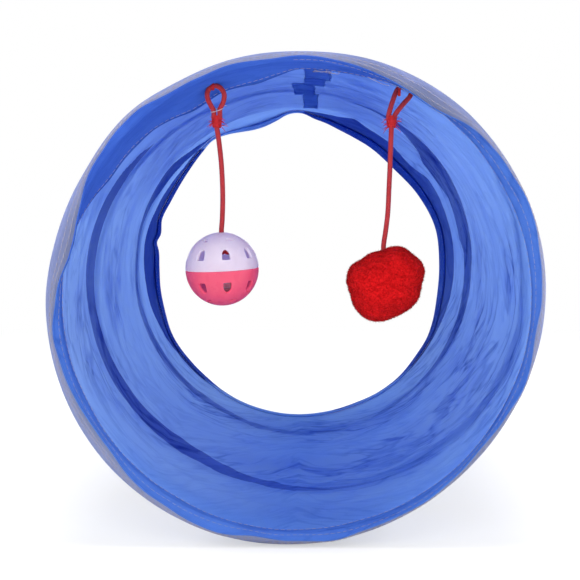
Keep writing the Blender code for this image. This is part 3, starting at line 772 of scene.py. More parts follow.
lining, liningBack, hemCloth, seamCloth, tapeCloth, coverCloth, coverBack = (clothFinish(look) for look in (
    liningLook, liningBackLook, hemLook, seamLook, tapeLook, coverLook, coverBackLook))
whiteThread, redFibre, whitePlastic, pinkPlastic, springSteel, bellMetal = (grainFinish(look) for look in (
    threadLook, fibreLook, whiteLook, pinkLook, steelLook, bellLook))
redCord = cordFinish(cordLook)
redFelt = feltFinish(feltLook)
print("finishes made")

# the two openings, by turn from the top, in millimetres

rim = {
    "edge": {
        0: 121.8, 10: 122, 20: 120.2, 30: 118.2, 38: 119, 45: 122.8, 60: 124.4, 70: 124.8, 80: 124,
        90: 122.5, 100: 121.2, 110: 122.0, 120: 120.3, 130: 118.6, 140: 119.6, 150: 120.6, 160: 120.8,
        170: 122.2, 180: 121.7, 190: 122.2, 200: 124.2, 210: 123.2, 220: 123.2, 230: 121.5, 240: 121,
        250: 122.6, 260: 123, 270: 121.2, 276: 119, 281: 116, 290: 116.8, 300: 120.2, 310: 122.7,
        320: 123.6, 330: 121.6, 345: 121, 355: 120.9,
    },
    "outline": {
        0: 124.6, 20: 126.2, 40: 127.2, 60: 127.0, 80: 126.6, 100: 125.0, 120: 123.2, 145: 122.6,
        165: 123.8, 180: 124.8, 200: 126.4, 230: 127.4, 250: 127.2, 270: 126.4, 285: 124.8, 300: 124.4,
        320: 126.0, 330: 124.6, 345: 124.8,
    },
    "hemDepth": {
        0: 28, 12: 26, 20: 21, 28: 14.5, 45: 12.5, 60: 12, 100: 13, 140: 15, 180: 15.5, 220: 15, 260: 14,
        280: 15, 290: 24, 300: 29.5, 310: 31, 320: 34, 345: 33.5, 352: 31,
    },
    "droop": {
        0: 0.8, 12: 0.2, 40: 0, 90: 0, 150: 0, 210: 0, 270: 0, 285: 0.5, 295: 1.2, 309: 2.8, 320: 2.6,
        331: 3.6, 341: 2.4, 352: 1.5,
    },
    "curl": {
        0: 1.6, 6: 1.2, 14: 1.2, 22: 0.3, 30: 0, 150: 0, 270: 0, 286: 0, 294: 1.2, 302: 2.9, 308: 2.3,
        315: 2.5, 320: 2.5, 325: 3.2, 331: 4.4, 335: 4.3, 341: 3.8, 345: 4.5, 350: 5.6, 355: 3.9,
    },
    "shoulderDepth": 0.0075,
    "wave": 0.0009,
}
farRim = {
    "opening": {
        0: 118.6, 5: 114.5, 10: 112, 15: 109.5, 22: 107.5, 30: 106.3, 45: 104, 60: 106.5, 75: 109.5,
        90: 109, 105: 111, 115: 114.5, 120: 116.2, 130: 117.3, 140: 119.4, 150: 120.2, 160: 120, 170: 120.8,
        180: 121.4, 195: 121.4, 210: 120.6, 220: 119, 228: 118.6, 240: 118.4, 250: 116, 260: 114.5,
        268: 113.7, 275: 114.5, 278: 116.5, 281: 114.5, 287: 116.5, 295: 115.2, 302: 115, 310: 116,
        318: 118.2, 324: 120.2, 330: 117.7, 335: 114.5, 340: 112.1, 345: 112.1, 350: 114.5, 355: 118.4,
    },
    "start": {
        0: .505, 10: .505, 15: .495, 20: .476, 25: .500, 30: .515, 36: .524, 41: .546, 45: .555, 50: .545,
        55: .502, 60: .495, 75: .498, 90: .500, 105: .503, 120: .509, 130: .505, 140: .500, 160: .499,
        168: .493, 172: .515, 178: .56, 198: .56, 204: .502, 215: .498, 225: .492, 235: .485, 245: .475,
        255: .463, 265: .457, 275: .448, 280: .445, 285: .452, 292: .470, 300: .485, 310: .497, 319: .501,
        323: .56, 330: .64, 340: .66, 350: .62, 355: .53,
    },  # in metres, as are the bands below
    # how much painted shade the dark zone by the rear opening gets, by turn
    "strength": {0: .96, 20: 1, 60: .88, 90: .88, 130: .88, 210: .9, 260: 1, 300: 1, 320: .97},
    "pullStart": 0.405,
}


def edgeRadius(turn):  # where the blue hem folds over at the front
    waves = softNoise(turn, 0, 40, 1, 5) + 0.8 * softNoise(turn, 0, 83, 1, 6)
    return aroundRing(rim["edge"], turn) / 1000 + rim["wave"] * waves


def edgeDepth(turn):
    return 0.0011 + 0.0006 * softNoise(turn, 0, 29, 1, 7)


def outlineRadius(turn):
    return aroundRing(rim["outline"], turn) / 1000


def shoulder(turn, share):  # radius and depth across the rolled front edge of the cover
    start, end, lip = edgeRadius(turn) + 0.0003, outlineRadius(turn), edgeDepth(turn)
    wide = np.maximum(end - start, 0.0008)
    angle = share * math.pi / 2
    fold = 0.0003 * np.sin(share * math.pi * 5) * smoothStep((wide - 0.002) / 0.004)
    depth = lip - 0.0004 + (rim["shoulderDepth"] - lip) * (1 - np.cos(angle))
    return start + wide * np.sin(angle) + fold, depth


def frontHemDepth(turn):
    return aroundRing(rim["hemDepth"], turn) / 1000 + 0.0003 * softNoise(turn, 0, 40, 1, 8)


def farRadius(turn):
    return aroundRing(farRim["opening"], turn) / 1000


def farPull(turn, depth):  # how far the cloth hangs in towards the rear opening
    share = np.clip((depth - farRim["pullStart"]) / (tunnel["length"] - farRim["pullStart"]), 0, 1)
    return (0.1203 - farRadius(turn)) * share**2.2


def seenDepth(turn, depth):  # the depth at which cloth that hangs in seems to lie, seen from the front
    eye = -view["place"][1] - tunnel["length"] / 2
    inner = liningShape["inner"]
    return inner * (eye + depth) / (inner - farPull(turn, depth)) - eye


def wrinkles(turn, depth):  # long soft creases round the tunnel, closest where the cloth is slack
    slant = (creaseSlant(turn, depth) + 0.16 + 0.008 * softNoise(turn, depth, 7, 8, 11)) / 1.32
    creases = softNoise(turn, slant, 26, 44, 12) + 0.6 * softNoise(turn, slant, 44, 78, 13)
    ridge = creases - 0.55 * np.abs(creases)
    slack = 0.55 + 0.45 * softNoise(turn, depth, 4, 4, 14)
    place = np.mod(turn, 360)
    side = np.exp(-((place - 110) / 60) ** 2) + 0.8 * np.exp(-((place - 215) / 45) ** 2)
    return 0.0007 * ridge * np.clip(slack, 0.15, 1) * (0.65 + 0.6 * side)


def hemClear(turn, depth):  # 0 under the hems, 1 away from them
    rear = tunnel["length"] - 0.0165
    return smoothStep((depth - frontHemDepth(turn) - 0.001) / 0.010) * smoothStep((rear - depth) / 0.008)


liningShape = {
    "around": 288,
    "inside": 196,  # rows of its inner and outer wall
    "outside": 40,
    "start": 0.0122,
    "end": 0.4878,
    "inner": 0.1204,
    "outer": 0.1210,
    "wall": 0.0002,
}
# bands of doubled cloth; strength is how much painted shade each gets, by turn
doubledBands = (
    {
        "strength": {
            105: .35, 150: .35, 168: .5, 180: .68, 205: .82, 215: .84, 250: .78, 298: .86, 313: .84,
        },
        "front": {
            105: .040, 120: .072, 135: .083, 150: .108, 160: .122, 170: .134, 180: .142, 195: .148,
            210: .149, 225: .138, 240: .132, 255: .125, 270: .117, 280: .107, 290: .098, 297: .097,
            302: .103, 306: .125, 310: .150, 313: .165,
        },
        "rear": {
            105: .0415, 120: .0745, 135: .086, 150: .112, 160: .127, 170: .143, 180: .156, 190: .168,
            200: .176, 207: .186, 215: .190, 225: .182, 240: .170, 255: .160, 265: .152, 275: .150,
            285: .152, 295: .160, 305: .168, 313: .171,
        },
        "rough": 0.0032,
    },
    {
        "strength": {17: .6, 30: .72, 40: .86, 50: .9, 60: .76, 110: .68, 147: .45},
        "front": {
            17: .297, 30: .294, 45: .292, 55: .300, 65: .317, 75: .333, 85: .345, 95: .355, 105: .362,
            115: .370, 125: .377, 135: .383, 147: .385,
        },
        "rear": {
            17: .300, 27: .305, 33: .335, 40: .367, 45: .384, 50: .415, 56: .420, 65: .408, 73: .420,
            80: .424, 85: .402, 92: .396, 100: .400, 115: .404, 125: .399, 140: .390, 147: .387,
        },
        "rough": 0.005,
    },
    {
        "strength": {140: .45, 165: .35, 198: .5},
        "front": {140: .384, 165: .380, 198: .386},
        "rear": {140: .390, 165: .390, 198: .402},
        "rough": 0.012,
    },
    {
        "strength": {196: .45, 215: .62, 250: .58, 280: .68, 300: .95, 322: .98},
        "front": {
            196: .386, 205: .394, 215: .395, 225: .388, 235: .385, 245: .380, 255: .375, 265: .380,
            275: .383, 290: .383, 300: .385, 308: .394, 315: .430, 322: .465,
        },
        "rear": {
            196: .398, 205: .415, 215: .421, 225: .418, 235: .414, 245: .410, 255: .400, 262: .394,
            275: .401, 285: .400, 292: .414, 300: .440, 308: .466, 315: .482, 322: .486,
        },
        "rough": 0.006,
    },
)


def doubledCloth(turn, depth):  # how far inside the doubled cloth, in metres, and how much painted shade it gets there
    turn, depth = np.mod(turn, 360), seenDepth(turn, depth)
    rough = softNoise(turn, depth, 70, 34, 21) + 0.5 * softNoise(turn, depth, 160, 80, 22)
    best = depth - aroundRing(farRim["start"], turn) + 0.0015 * rough
    shade = aroundRing(farRim["strength"], turn) + 0 * best
    for band in doubledBands:
        keys = ("strength", "front", "rear")
        strength, front, rear = (np.interp(turn, *columns(band[key])) for key in keys)
        rear = rear + band["rough"] * 0.6 * softNoise(turn, 0, 58, 1, 23)
        beyond = np.maximum(np.maximum(min(band["front"]) - turn, turn - max(band["front"])), 0) * 0.0021
        inside = np.minimum(depth - front, rear - depth) + band["rough"] * 0.35 * rough - beyond
        shade = np.where(inside > best, strength, shade)
        best = np.maximum(best, inside)
    return best, shade


def liningRadius(turn, depth):
    # the doubled cloth stands in a little
    relief = 0.0006 * np.clip(doubledCloth(turn, depth)[0] / 0.002, 0, 1)
    folds = (wrinkles(turn, depth) - relief * 0.5) * hemClear(turn, depth)
    return liningShape["inner"] - drawnIn(turn, depth) - farPull(turn, depth) + folds


def buildLining():
    start, end = liningShape["start"], liningShape["end"]
    turns = ringTurns(liningShape["around"])
    grid = turns[None, :]
    inner = np.linspace(end, start, liningShape["inside"])[:, None]
    outer = np.linspace(start, end, liningShape["outside"])[:, None]
    back = liningShape["outer"] + liningShape["wall"] - drawnIn(grid, outer) - farPull(grid, outer)
    radius = np.concatenate([back, liningRadius(grid, inner)])
    depth = np.concatenate([outer, inner]) + 0 * grid
    item = ringSolid("tunnelLining", turns, radius, depth, lining)
    slant = creaseSlant(grid, depth)
    writeLayers(item, *doubledCloth(grid, depth), clothSlack(grid, depth), slant, paintedClothLight(grid, depth))
    wearBack(item, len(turns), range(liningShape["outside"] - 1), liningBack)
    return item


tunnelLining = buildLining()
print("lining made,", len(tunnelLining.data.polygons), "faces")

coverShape = {
    "around": 288,
    "outside": 200,  # rows of its outer and inner wall between the two shoulders
    "inside": 34,
    "frontRows": 11,
    "rearRows": 9,
    "nominal": 0.1257,
    "thickness": 0.0005,
    "ridge": 0.0011,
    "end": 0.4915,
    "floorGaps": (0.0002, 0.0006),  # of the outer and inner wall
}


def coverRadius(turn, depth):
    nominal = coverShape["nominal"]
    nearest = wireNearest(turn, depth)
    ridge = coverShape["ridge"] * np.exp(-((nearest / 0.0058) ** 2))
    ridge = ridge + 0.00025 * smoothStep((0.018 - nearest) / 0.003)
    askew = depth + 0.00008 * np.mod(turn, 360)
    pulls = softNoise(turn, askew, 12, 40, 31) + 0.7 * softNoise(turn, depth, 26, 90, 32)
    folds = 0.0006 * pulls * (0.6 + 0.5 * softNoise(turn, depth, 5, 6, 33))
    plain = nominal - 0.9 * drawnIn(turn, depth) + ridge + folds
    front = (outlineRadius(turn) - nominal) * (1 - smoothStep((depth - 0.007) / 0.045))
    calm = smoothStep((depth - 0.007) / 0.02) * smoothStep((0.493 - depth) / 0.02)
    return nominal + front + (plain - nominal) * calm


def rearShoulder(turn, share):  # from the cover round to the rear opening
    inner = farRadius(turn) + 0.0004
    end = coverRadius(turn, coverShape["end"])
    angle = share * math.pi / 2
    depth = coverShape["end"] + 0.0081 * np.sin(angle) - 0.0006 * (1 - share)
    return inner + np.maximum(end - inner, 0.0008) * np.cos(angle), depth


def buildCover():
    turns = ringTurns(coverShape["around"])
    grid = turns[None, :]
    front, rear = coverShape["frontRows"], coverShape["rearRows"]
    rows = [shoulder(grid, share) for share in np.linspace(0, 1, front)]
    for depth in np.linspace(rim["shoulderDepth"], coverShape["end"], coverShape["outside"] + 2)[1:-1]:
        rows.append((coverRadius(grid, depth), depth))
    rows += [rearShoulder(grid, share) for share in np.linspace(0, 1, rear)]
    outerRadius, outerDepth = ringRows(rows, grid)
    between = np.linspace(front + 3, len(rows) - rear - 4, coverShape["inside"]).astype(int)
    picks = [*range(0, front, 2), *between, *range(len(rows) - rear, len(rows), 2)][::-1]
    innerRadius = outerRadius[picks] - coverShape["thickness"] * np.where(outerDepth[picks] > 0.006, 1, 0.5)
    innerDepth = np.clip(outerDepth[picks], edgeDepth(grid) + 0.0002, tunnel["length"] - 0.0006)
    radius = np.concatenate([outerRadius, innerRadius])
    depth = np.concatenate([outerDepth, innerDepth])
    lift = np.repeat(coverShape["floorGaps"], (outerRadius.size, innerRadius.size))
    item = ringSolid("tunnelCover", turns, radius, depth, coverCloth, lift)
    wearBack(item, len(turns), range(len(rows) + 2, len(radius) - 3), coverBack)
    return item


tunnelCover = buildCover()
print("cover made,", len(tunnelCover.data.polygons), "faces")


# hems folded over the two end hoops

hemShape = {
    "around": 360,
    "face": 0.1192,
    "cloth": 0.0007,
    "returnDepth": 0.0085,
    "rearDepth": 0.015,
    # painted shade on the front hem, by turn
    "shade": {
        0: 0.9, 20: 0.8, 32: 0.45, 60: 0.3, 90: 0.25, 130: 0.15, 180: 0.35, 220: 0.3, 250: 0.35, 275: 0.5,
        288: 1.0, 310: 1.0, 335: 1.0, 350: 0.95,
    },
}


def hemFace(turn, depth):  # inner side of the front hem
    face = hemShape["face"]
    rise = smoothStep((0.0075 - depth) / 0.0072) ** 1.2
    drop = aroundRing(rim["droop"], turn) / 1000 * np.clip(depth / 0.0295, 0, 1.1) ** 2.2
    drop = drop + aroundRing(rim["curl"], turn) / 1000 * np.clip(depth / frontHemDepth(turn), 0, 1) ** 7
    slack = 0.00035 * (softNoise(turn, depth * 4, 40, 20, 41) + 0.7 * softNoise(turn, depth * 4, 90, 30, 42))
    return face + (edgeRadius(turn) - face) * rise - drop + slack * smoothStep((depth - 0.001) / 0.004)


def buildFrontHem():
    turns = ringTurns(hemShape["around"])
    grid = turns[None, :]
    edge, lip, end = edgeRadius(grid), edgeDepth(grid), frontHemDepth(grid)
    cloth = hemShape["cloth"]
    rows = [(edge, lip - 0.0007), (edge + 0.0004, lip - 0.0003), (edge + 0.0004, lip + 0.0004)]
    for share in (0.25, 0.5, 0.75, 1):  # the leg under the cover
        depth = lip + (hemShape["returnDepth"] - lip) * share
        under = np.minimum(shoulder(grid, np.minimum(share * 1.6, 1.0))[0], coverShape["nominal"]) - 0.0011
        rows.append((np.maximum(under, edge - 0.0004) if share < 0.3 else under, depth))
    rows += [(radius - cloth * 0.6, depth) for radius, depth in rows[:2:-1]]
    rows.append((edge - 0.0004, lip + 0.0010))
    for shares, wall in ((np.linspace(0.08, 1, 9), cloth), (np.linspace(1, 0.03, 22), 0)):
        depths = [lip + (end - lip) * share for share in shares]
        rows += [(hemFace(grid, depth) + wall, depth) for depth in depths]
    rows.append((edge - 0.0003, lip - 0.0004))
    radius, depth = ringRows(rows, grid)
    item = ringSolid("frontHem", turns, radius, depth, hemCloth)
    # painted shade by turn, carried in the layers attribute
    shade = aroundRing(hemShape["shade"], grid) + 0.12 * softNoise(grid, depth * 6, 30, 12, 43)
    writeLayers(item, shade * 2 - 1 + 0 * depth, 1.0, 0.5, depth, 0.0)
    return item


def rearHemFace(turn, depth):
    return 0.1196 - farPull(turn, depth) - 0.0004 + 0.0002 * softNoise(turn, (0.5 - depth) * 4, 50, 10, 44)


def buildRearHem():
    turns = ringTurns(hemShape["around"])
    grid = turns[None, :]
    inner = farRadius(grid)
    nominal, cloth = coverShape["nominal"], hemShape["cloth"]
    start = tunnel["length"] - hemShape["rearDepth"]
    depths = [start + share * 0.0138 for share in np.linspace(1, 0, 12)]
    face = [(rearHemFace(grid, depth), depth) for depth in depths]
    legOut = [(radius + cloth, depth) for radius, depth in face[::-1]]
    outerLeg = [(nominal - 0.0012, 0.488 + share * 0.006) for share in (0, 0.5, 1)]
    reach = nominal - 0.0016 - inner
    curtain = [(inner + reach * share, 0.4982 - 0.002 * share) for share in (0.7, 0.4, 0.1)]
    tip = [(inner + 0.0002, 0.4996), (inner - 0.0003, 0.4992)]
    under = [(radius - cloth * 0.6, depth - 0.0006) for radius, depth in curtain[::-1]]
    outerBack = [(radius - cloth * 0.6, depth) for radius, depth in outerLeg[::-1]]
    radius, depth = ringRows(outerLeg + curtain + tip + face + legOut[:-1] + under + outerBack, grid)
    item = ringSolid("rearHem", turns, radius, depth, lining)
    wearBack(item, len(turns), [*range(6), *range(20, len(radius))], liningBack)
    writeLayers(item, *doubledCloth(grid, depth), 0.5, depth, paintedClothLight(grid, depth))
    return item


frontHem = buildFrontHem()
rearHem = buildRearHem()
print("hems made")


# geometry made by node trees

def growSheet(name, sizes):  # a geometry tree with a named input for each size
    tree = bpy.data.node_groups.new(name, "GeometryNodeTree")
    tree.interface.new_socket(name="Geometry", in_out="INPUT", socket_type="NodeSocketGeometry")
    keys = {}
    for size, value in sizes.items():
        kind = "NodeSocketInt" if isinstance(value, int) else "NodeSocketFloat"
        keys[size] = tree.interface.new_socket(name=size, in_out="INPUT", socket_type=kind).identifier
    tree.interface.new_socket(name="Geometry", in_out="OUTPUT", socket_type="NodeSocketGeometry")
    sheet, names = NodeSheet(tree), ("Geometry", *sizes)
    return sheet, dict(zip(names, sheet.node("NodeGroupInput", output=names))), keys


def growOut(sheet, geometry, material):
    geometry = sheet.node("GeometryNodeRealizeInstances", None, {0: geometry})
    geometry = sheet.node("GeometryNodeSetShadeSmooth", None, {0: geometry})
    geometry = sheet.node("GeometryNodeSetMaterial", None, {"Geometry": geometry, "Material": material})
    sheet.node("NodeGroupOutput", None, {0: geometry})


def grow(name, source, sheet, keys, sizes):  # runs the tree on a mesh and keeps the result as a plain mesh
    carrier = addObject(name + "Carrier", source)
    modifier = carrier.modifiers.new("grow", "NODES")
    modifier.node_group = sheet.tree
    for size, value in sizes.items():
        modifier[keys[size]] = value
    data = plainMesh(carrier)
    data.name = name
    kept = [material for material in data.materials if material]
    data.materials.clear()
    data.materials.append(kept[0])
    data.polygons.foreach_set("material_index", [0] * len(data.polygons))
    carrier.modifiers.remove(modifier)
    bpy.data.objects.remove(carrier)
    return addObject(name, data)


def plainMesh(item):  # what its modifiers make of it
    return bpy.data.meshes.new_from_object(item.evaluated_get(bpy.context.evaluated_depsgraph_get()))


def lineMesh(name, lines):  # lines are (points, closed) pairs
    points, edges = [], []
    for line, closed in lines:
        first = len(points)
        points += [tuple(p) for p in line]
        edges += [(first + i, first + i + 1) for i in range(len(line) - 1)]
        if closed:
            edges.append((len(points) - 1, first))
    data = bpy.data.meshes.new(name + "Line")
    data.from_pydata(points, edges, [])
    return data


# spring wire and the tape that holds it

wireShape = {"Diameter": 0.0016, "Sides": 10}
wireSheet, wireInputs, wireKeys = growSheet("wireSweep", wireShape)
wirePath = wireSheet.node("GeometryNodeMeshToCurve", None, {0: wireInputs["Geometry"]})
wireRound = wireSheet.node("GeometryNodeCurvePrimitiveCircle", None, {
    "Resolution": wireInputs["Sides"], "Radius": wireInputs["Diameter"] / 2})
wireTube = wireSheet.node("GeometryNodeCurveToMesh", None, {
    "Curve": wirePath, "Profile Curve": wireRound, "Fill Caps": True})
growOut(wireSheet, wireTube, springSteel)
wireLine = placeOn(tunnel["coilRadius"], wireTurns[::2], wireDepths[::2])
springWire = grow("springWire", lineMesh("springWire", [(wireLine, False)]), wireSheet, wireKeys, wireShape)

tapeShape = {
    "half": 0.016,
    "thick": 0.0004,
    "flat": 0.1213,
    "hump": 0.0022,
    "humpHalf": 0.0026,
    "span": (0.030, 0.470),
    "steps": (0, 0.001, 0.0022, 0.0034, 0.005, 0.010),  # from the wire outwards
}


def buildTape():
    turns = np.arange(wire["coilStart"], wire["coilEnd"] + 0.1, 2.5)
    start, end = tapeShape["span"]
    turns = np.array([t for t in turns if start < wireDepth(t) < end])[:, None]
    steps = np.array([*tapeShape["steps"], tapeShape["half"]])
    across = np.concatenate([-steps[:0:-1], steps])
    depths = np.array([wireDepth(t) for t in turns[:, 0]])[:, None] + across
    hump = tapeShape["hump"] * np.exp(-((across / tapeShape["humpHalf"]) ** 4))
    rise = tapeShape["flat"] + hump - drawnIn(turns, depths) + 0.00012 * softNoise(turns, depths, 80, 90, 51)
    over = placeOn(rise + tapeShape["thick"], turns, depths)
    item = addMesh("wireTape", *stripSolid(over, placeOn(rise, turns, depths), mirrored=True), tapeCloth)
    flatMap(item)
    return item


def stripSolid(over, under, first=0, mirrored=False):  # points and faces of a closed strip of cloth
    loop = np.concatenate([over, under[:, ::-1]], axis=1)
    rows, wide = loop.shape[:2]
    faces = []
    for i in range(rows - 1):
        a, b = first + i * wide, first + (i + 1) * wide
        for k in range(wide):
            n = (k + 1) % wide
            faces.append((a + k, b + k, b + n, a + n) if mirrored else (a + k, a + n, b + n, b + k))
    last = first + (rows - 1) * wide
    start, end = tuple(range(first, first + wide)), tuple(range(last, last + wide))
    faces += [start, end[::-1]] if mirrored else [start[::-1], end]
    return loop.reshape(-1, 3).tolist(), faces


wireTape = buildTape()
print("wire and tape made")


# doubled seam along the top of the lining

seamShape = {
    "blocks": (  # start and end depth, then the turns of its two sides
        (0.0275, 0.095, 2.0, 8.8),
        (0.090, 0.130, 1.8, 7.4),
        (0.122, 0.285, -1.6, 4.7),
        (0.278, 0.405, 1.0, 5.8),
    ),
    "pleats": (0.047, 0.094, 0.118, 0.142, 0.178, 0.205, 0.232, 0.262, 0.296, 0.33),
    "across": 9,
    "step": 0.0022,
    "lift": 0.0005,
    "thick": 0.0004,
}


def buildSeam():
    points, faces, outerSide = [], [], []
    wide = seamShape["across"]
    for order, (start, end, left, right) in enumerate(seamShape["blocks"]):
        rows = max(6, int((end - start) / seamShape["step"]))
        depths = np.linspace(start, end, rows)[:, None]
        shares = np.linspace(0, 1, wide)[None, :]
        turns = left + (right - left) * shares + 0.35 * softNoise(depths * 720 * 6, 0, 60, 1, 61 + order)
        pleats = [(depths - at - 0.004 * (shares - 0.5)) / 0.0016 for at in seamShape["pleats"]]
        lift = seamShape["lift"] + 0.0003 * order % 0.0004
        lift = lift + 0.0005 * sum(np.exp(-(pleat**2)) for pleat in pleats)
        face = liningRadius(turns, depths) - (lift + 0.00015 * softNoise(turns * 8, depths, 60, 60, 66))
        sides = [placeOn(face + wall, turns, depths) for wall in (seamShape["thick"], 0)]
        morePoints, moreFaces = stripSolid(*sides, first=len(points))
        points += morePoints
        faces += moreFaces
        outerSide += ([1] * (wide - 1) + [0] * (wide + 1)) * (rows - 1) + [0, 0]
    item = addMesh("liningSeam", points, faces, seamCloth)
    item.data.materials.append(liningBack)
    item.data.polygons.foreach_set("material_index", outerSide)
    flatMap(item)
    return item


liningSeam = buildSeam()


# stitches, set along lines on the cloth

stitchShape = {"Pitch": 0.0032, "Length": 0.0029, "Thickness": 0.00022, "Seed": 4}
stitchSheet, stitchInputs, stitchKeys = growSheet("stitchLine", stitchShape)
stitchPath = stitchSheet.node("GeometryNodeMeshToCurve", None, {0: stitchInputs["Geometry"]})
stitchPath = stitchSheet.node("GeometryNodeResampleCurve", {"mode": "LENGTH"}, {
    "Curve": stitchPath, "Length": stitchInputs["Pitch"]})
stitchTurn = stitchSheet.node("FunctionNodeAlignRotationToVector", {"axis": "X"}, {
    "Vector": stitchSheet.node("GeometryNodeInputTangent")})
stitchRange = {2: 0.8, 3: 1.1, "Seed": stitchInputs["Seed"]}
stitchVary = stitchSheet.node("FunctionNodeRandomValue", None, stitchRange, 1)
stitchThick = stitchInputs["Thickness"] / 2
stitchSize = stitchSheet.join(stitchInputs["Length"] / 2 * stitchVary, stitchThick, stitchThick)
stitchBead = stitchSheet.node("GeometryNodeMeshUVSphere", None, {"Segments": 6, "Rings": 5, "Radius": 1.0})
stitchSet = stitchSheet.node("GeometryNodeInstanceOnPoints", None, {
    "Points": stitchPath, "Instance": stitchBead, "Rotation": stitchTurn, "Scale": stitchSize})
growOut(stitchSheet, stitchSet, whiteThread)


def stitchRow(name, lines, **sizes):
    return grow(name, lineMesh(name, lines), stitchSheet, stitchKeys, {**stitchShape, **sizes})


lineTurns = ringTurns(720)


def hemLine(inset):
    depth = frontHemDepth(lineTurns) - inset + 0.0003 * softNoise(lineTurns, 0, 60, 1, 71)
    return placeOn(hemFace(lineTurns, depth) - 0.00022, lineTurns, depth)


def shoulderLine(share, seed, lift=0.0001):
    radius, depth = shoulder(lineTurns, share + 0.05 * softNoise(lineTurns, 0, 40, 1, seed))
    return placeOn(radius + lift * 0.7, lineTurns, depth - lift)


def lipLine(inset):
    depth = edgeDepth(lineTurns) + inset + 0.0003 * softNoise(lineTurns, 0, 50, 1, 73)
    return placeOn(hemFace(lineTurns, depth) - 0.0002, lineTurns, depth)


def rearLine(inset):
    depth = tunnel["length"] - hemShape["rearDepth"] + inset
    return placeOn(rearHemFace(lineTurns, depth) - 0.0002, lineTurns, depth)


frontHemStitches = stitchRow("frontHemStitches", [(hemLine(0.0016), True)], Thickness=0.00018)
frontLipStitches = stitchRow("frontLipStitches", [(lipLine(0.0028)[:560], False)], Thickness=0.00016, Seed=5)
shoulderLines = [(shoulderLine(0.16, 72), True), (shoulderLine(0.36, 75), True)]
frontEdgeStitches = stitchRow("frontEdgeStitches", shoulderLines, Seed=6)
rearHemStitches = stitchRow("rearHemStitches", [(rearLine(0.0016), True)], Thickness=0.00006, Seed=7)
rearEdgeStitches = stitchRow("rearEdgeStitches", [(rearLine(0.010), True)], Thickness=0.00006, Seed=8)
print("stitches made")


# toys

def cordTube(name, route):
    path = smoothRoute(cords[route])
    return tubeAlong(name, path, cords["diameter"] / 2, cords["sides"], redCord), path


ballCordLoop, ballLoopPath = cordTube("ballCordLoop", "ballLoop")
ballCord, ballCordPath = cordTube("ballCord", "ballStrand")
pompomCordLoop, pompomLoopPath = cordTube("pompomCordLoop", "pompomLoop")
pompomCord, pompomCordPath = cordTube("pompomCord", "pompomStrand")

hangSides = {"ball": -0.04075, "pompom": 0.0488}
bindingShape = {
    "radius": 0.0027,
    "turns": 9,
    "steps": 24,  # to a turn
    "thread": 0.00035,
    "top": 0.0932,
    "bottom": 0.0872,
    "whiskers": 16,
    "whiskerLength": 0.0042,
    "whiskerRadii": (0.00016, 0.00016, 0.00015, 0.00014, 0.00011, 0.00006),
}


def buildBinding(name, side, seed):  # thread wound round the cord, with its frayed ends standing out
    random = np.random.default_rng(seed)
    bottom, height = bindingShape["bottom"], bindingShape["top"] - bindingShape["bottom"]
    path, turns = [], bindingShape["turns"]
    for i in range(turns * bindingShape["steps"] + 1):
        share = i / (turns * bindingShape["steps"])
        swell = bindingShape["radius"] * (0.80 + 0.20 * math.sin(math.pi * share)) - bindingShape["thread"]
        angle = math.tau * turns * share
        aside = Vector((swell * math.cos(angle), swell * 0.78 * math.sin(angle), 0))
        path.append(hangAt(side, bottom + height * share) + aside)
    core = [hangAt(side, bottom + height * t) for t in (0.02, 0.2, 0.4, 0.6, 0.8, 0.98)]
    inside = bindingShape["radius"] * 0.72
    parts = [
        tubeAlong(name, path, bindingShape["thread"], 8, redFibre),
        tubeAlong(name + "Core", core, [inside * 0.8, *[inside] * 4, inside * 0.8], 16, redFibre),
    ]
    for i in range(bindingShape["whiskers"]):
        way = 1 if i % 2 else -1
        start = hangAt(side + way * 0.0014, bottom + height * random.uniform(0.0, 0.75))
        start = start + Vector((0, random.uniform(-0.0022, 0.001), 0))
        aim = Vector((way * random.uniform(0.6, 1.2), random.uniform(-0.9, 0.5), random.uniform(-0.9, 0.75)))
        aim.normalize()
        long = bindingShape["whiskerLength"] * random.uniform(0.6, 1.15)
        curl = Vector((0, random.uniform(-0.3, 0.3), random.uniform(-0.8, 0.5)))
        line = [start + aim * long * t + curl * long * t * t * 0.5 for t in (0, 0.2, 0.4, 0.6, 0.8, 1.0)]
        parts.append(tubeAlong(f"{name}Whisker{i}", line, bindingShape["whiskerRadii"], 6, redFibre))
    return joinParts(parts)


def joinParts(parts):
    whole = parts[0]
    mesh = bmesh.new()
    for part in parts:
        mesh.from_mesh(part.data)
    mesh.to_mesh(whole.data)
    mesh.free()
    for part in parts[1:]:
        bpy.data.objects.remove(part)
    return whole


ballBinding = buildBinding("ballBinding", hangSides["ball"], 81)
pompomBinding = buildBinding("pompomBinding", hangSides["pompom"], 82)

tackShape = {"diameter": 0.0005, "reach": 0.0021, "strands": 3, "spacing": 0.00045, "stray": 0.00005}


def hemInside(turn, depth):  # radius of the hem's inner side at one spot
    return float(hemFace(np.array(turn % 360), np.array(depth)))


def buildTack(name, crown, seed):  # thread through the loop's crown and into the hem
    random = np.random.default_rng(seed)
    reach, stray = tackShape["reach"], tackShape["stray"]
    parts = []
    for strand in range(tackShape["strands"]):
        line = []
        for share in np.arange(15) / 14:
            angle = math.pi * share
            side = crown.x + (strand - 1) * tackShape["spacing"] + random.uniform(-stray, stray)
            depth = crown.y + tunnel["length"] / 2 - reach * math.cos(angle)
            top = hemInside(math.degrees(math.asin(side / hemShape["face"])), depth)
            high = tunnel["axisHeight"] + math.sqrt(top * top - side * side) - 0.0001
            low = crown.z - reach
            height = high + (low - high) * math.sin(angle) ** 0.7
            line.append(Vector((side, depth - tunnel["length"] / 2, height)))
        parts.append(tubeAlong(f"{name}{strand or ''}", line, tackShape["diameter"] / 2, 8, redFibre))
    return joinParts(parts)


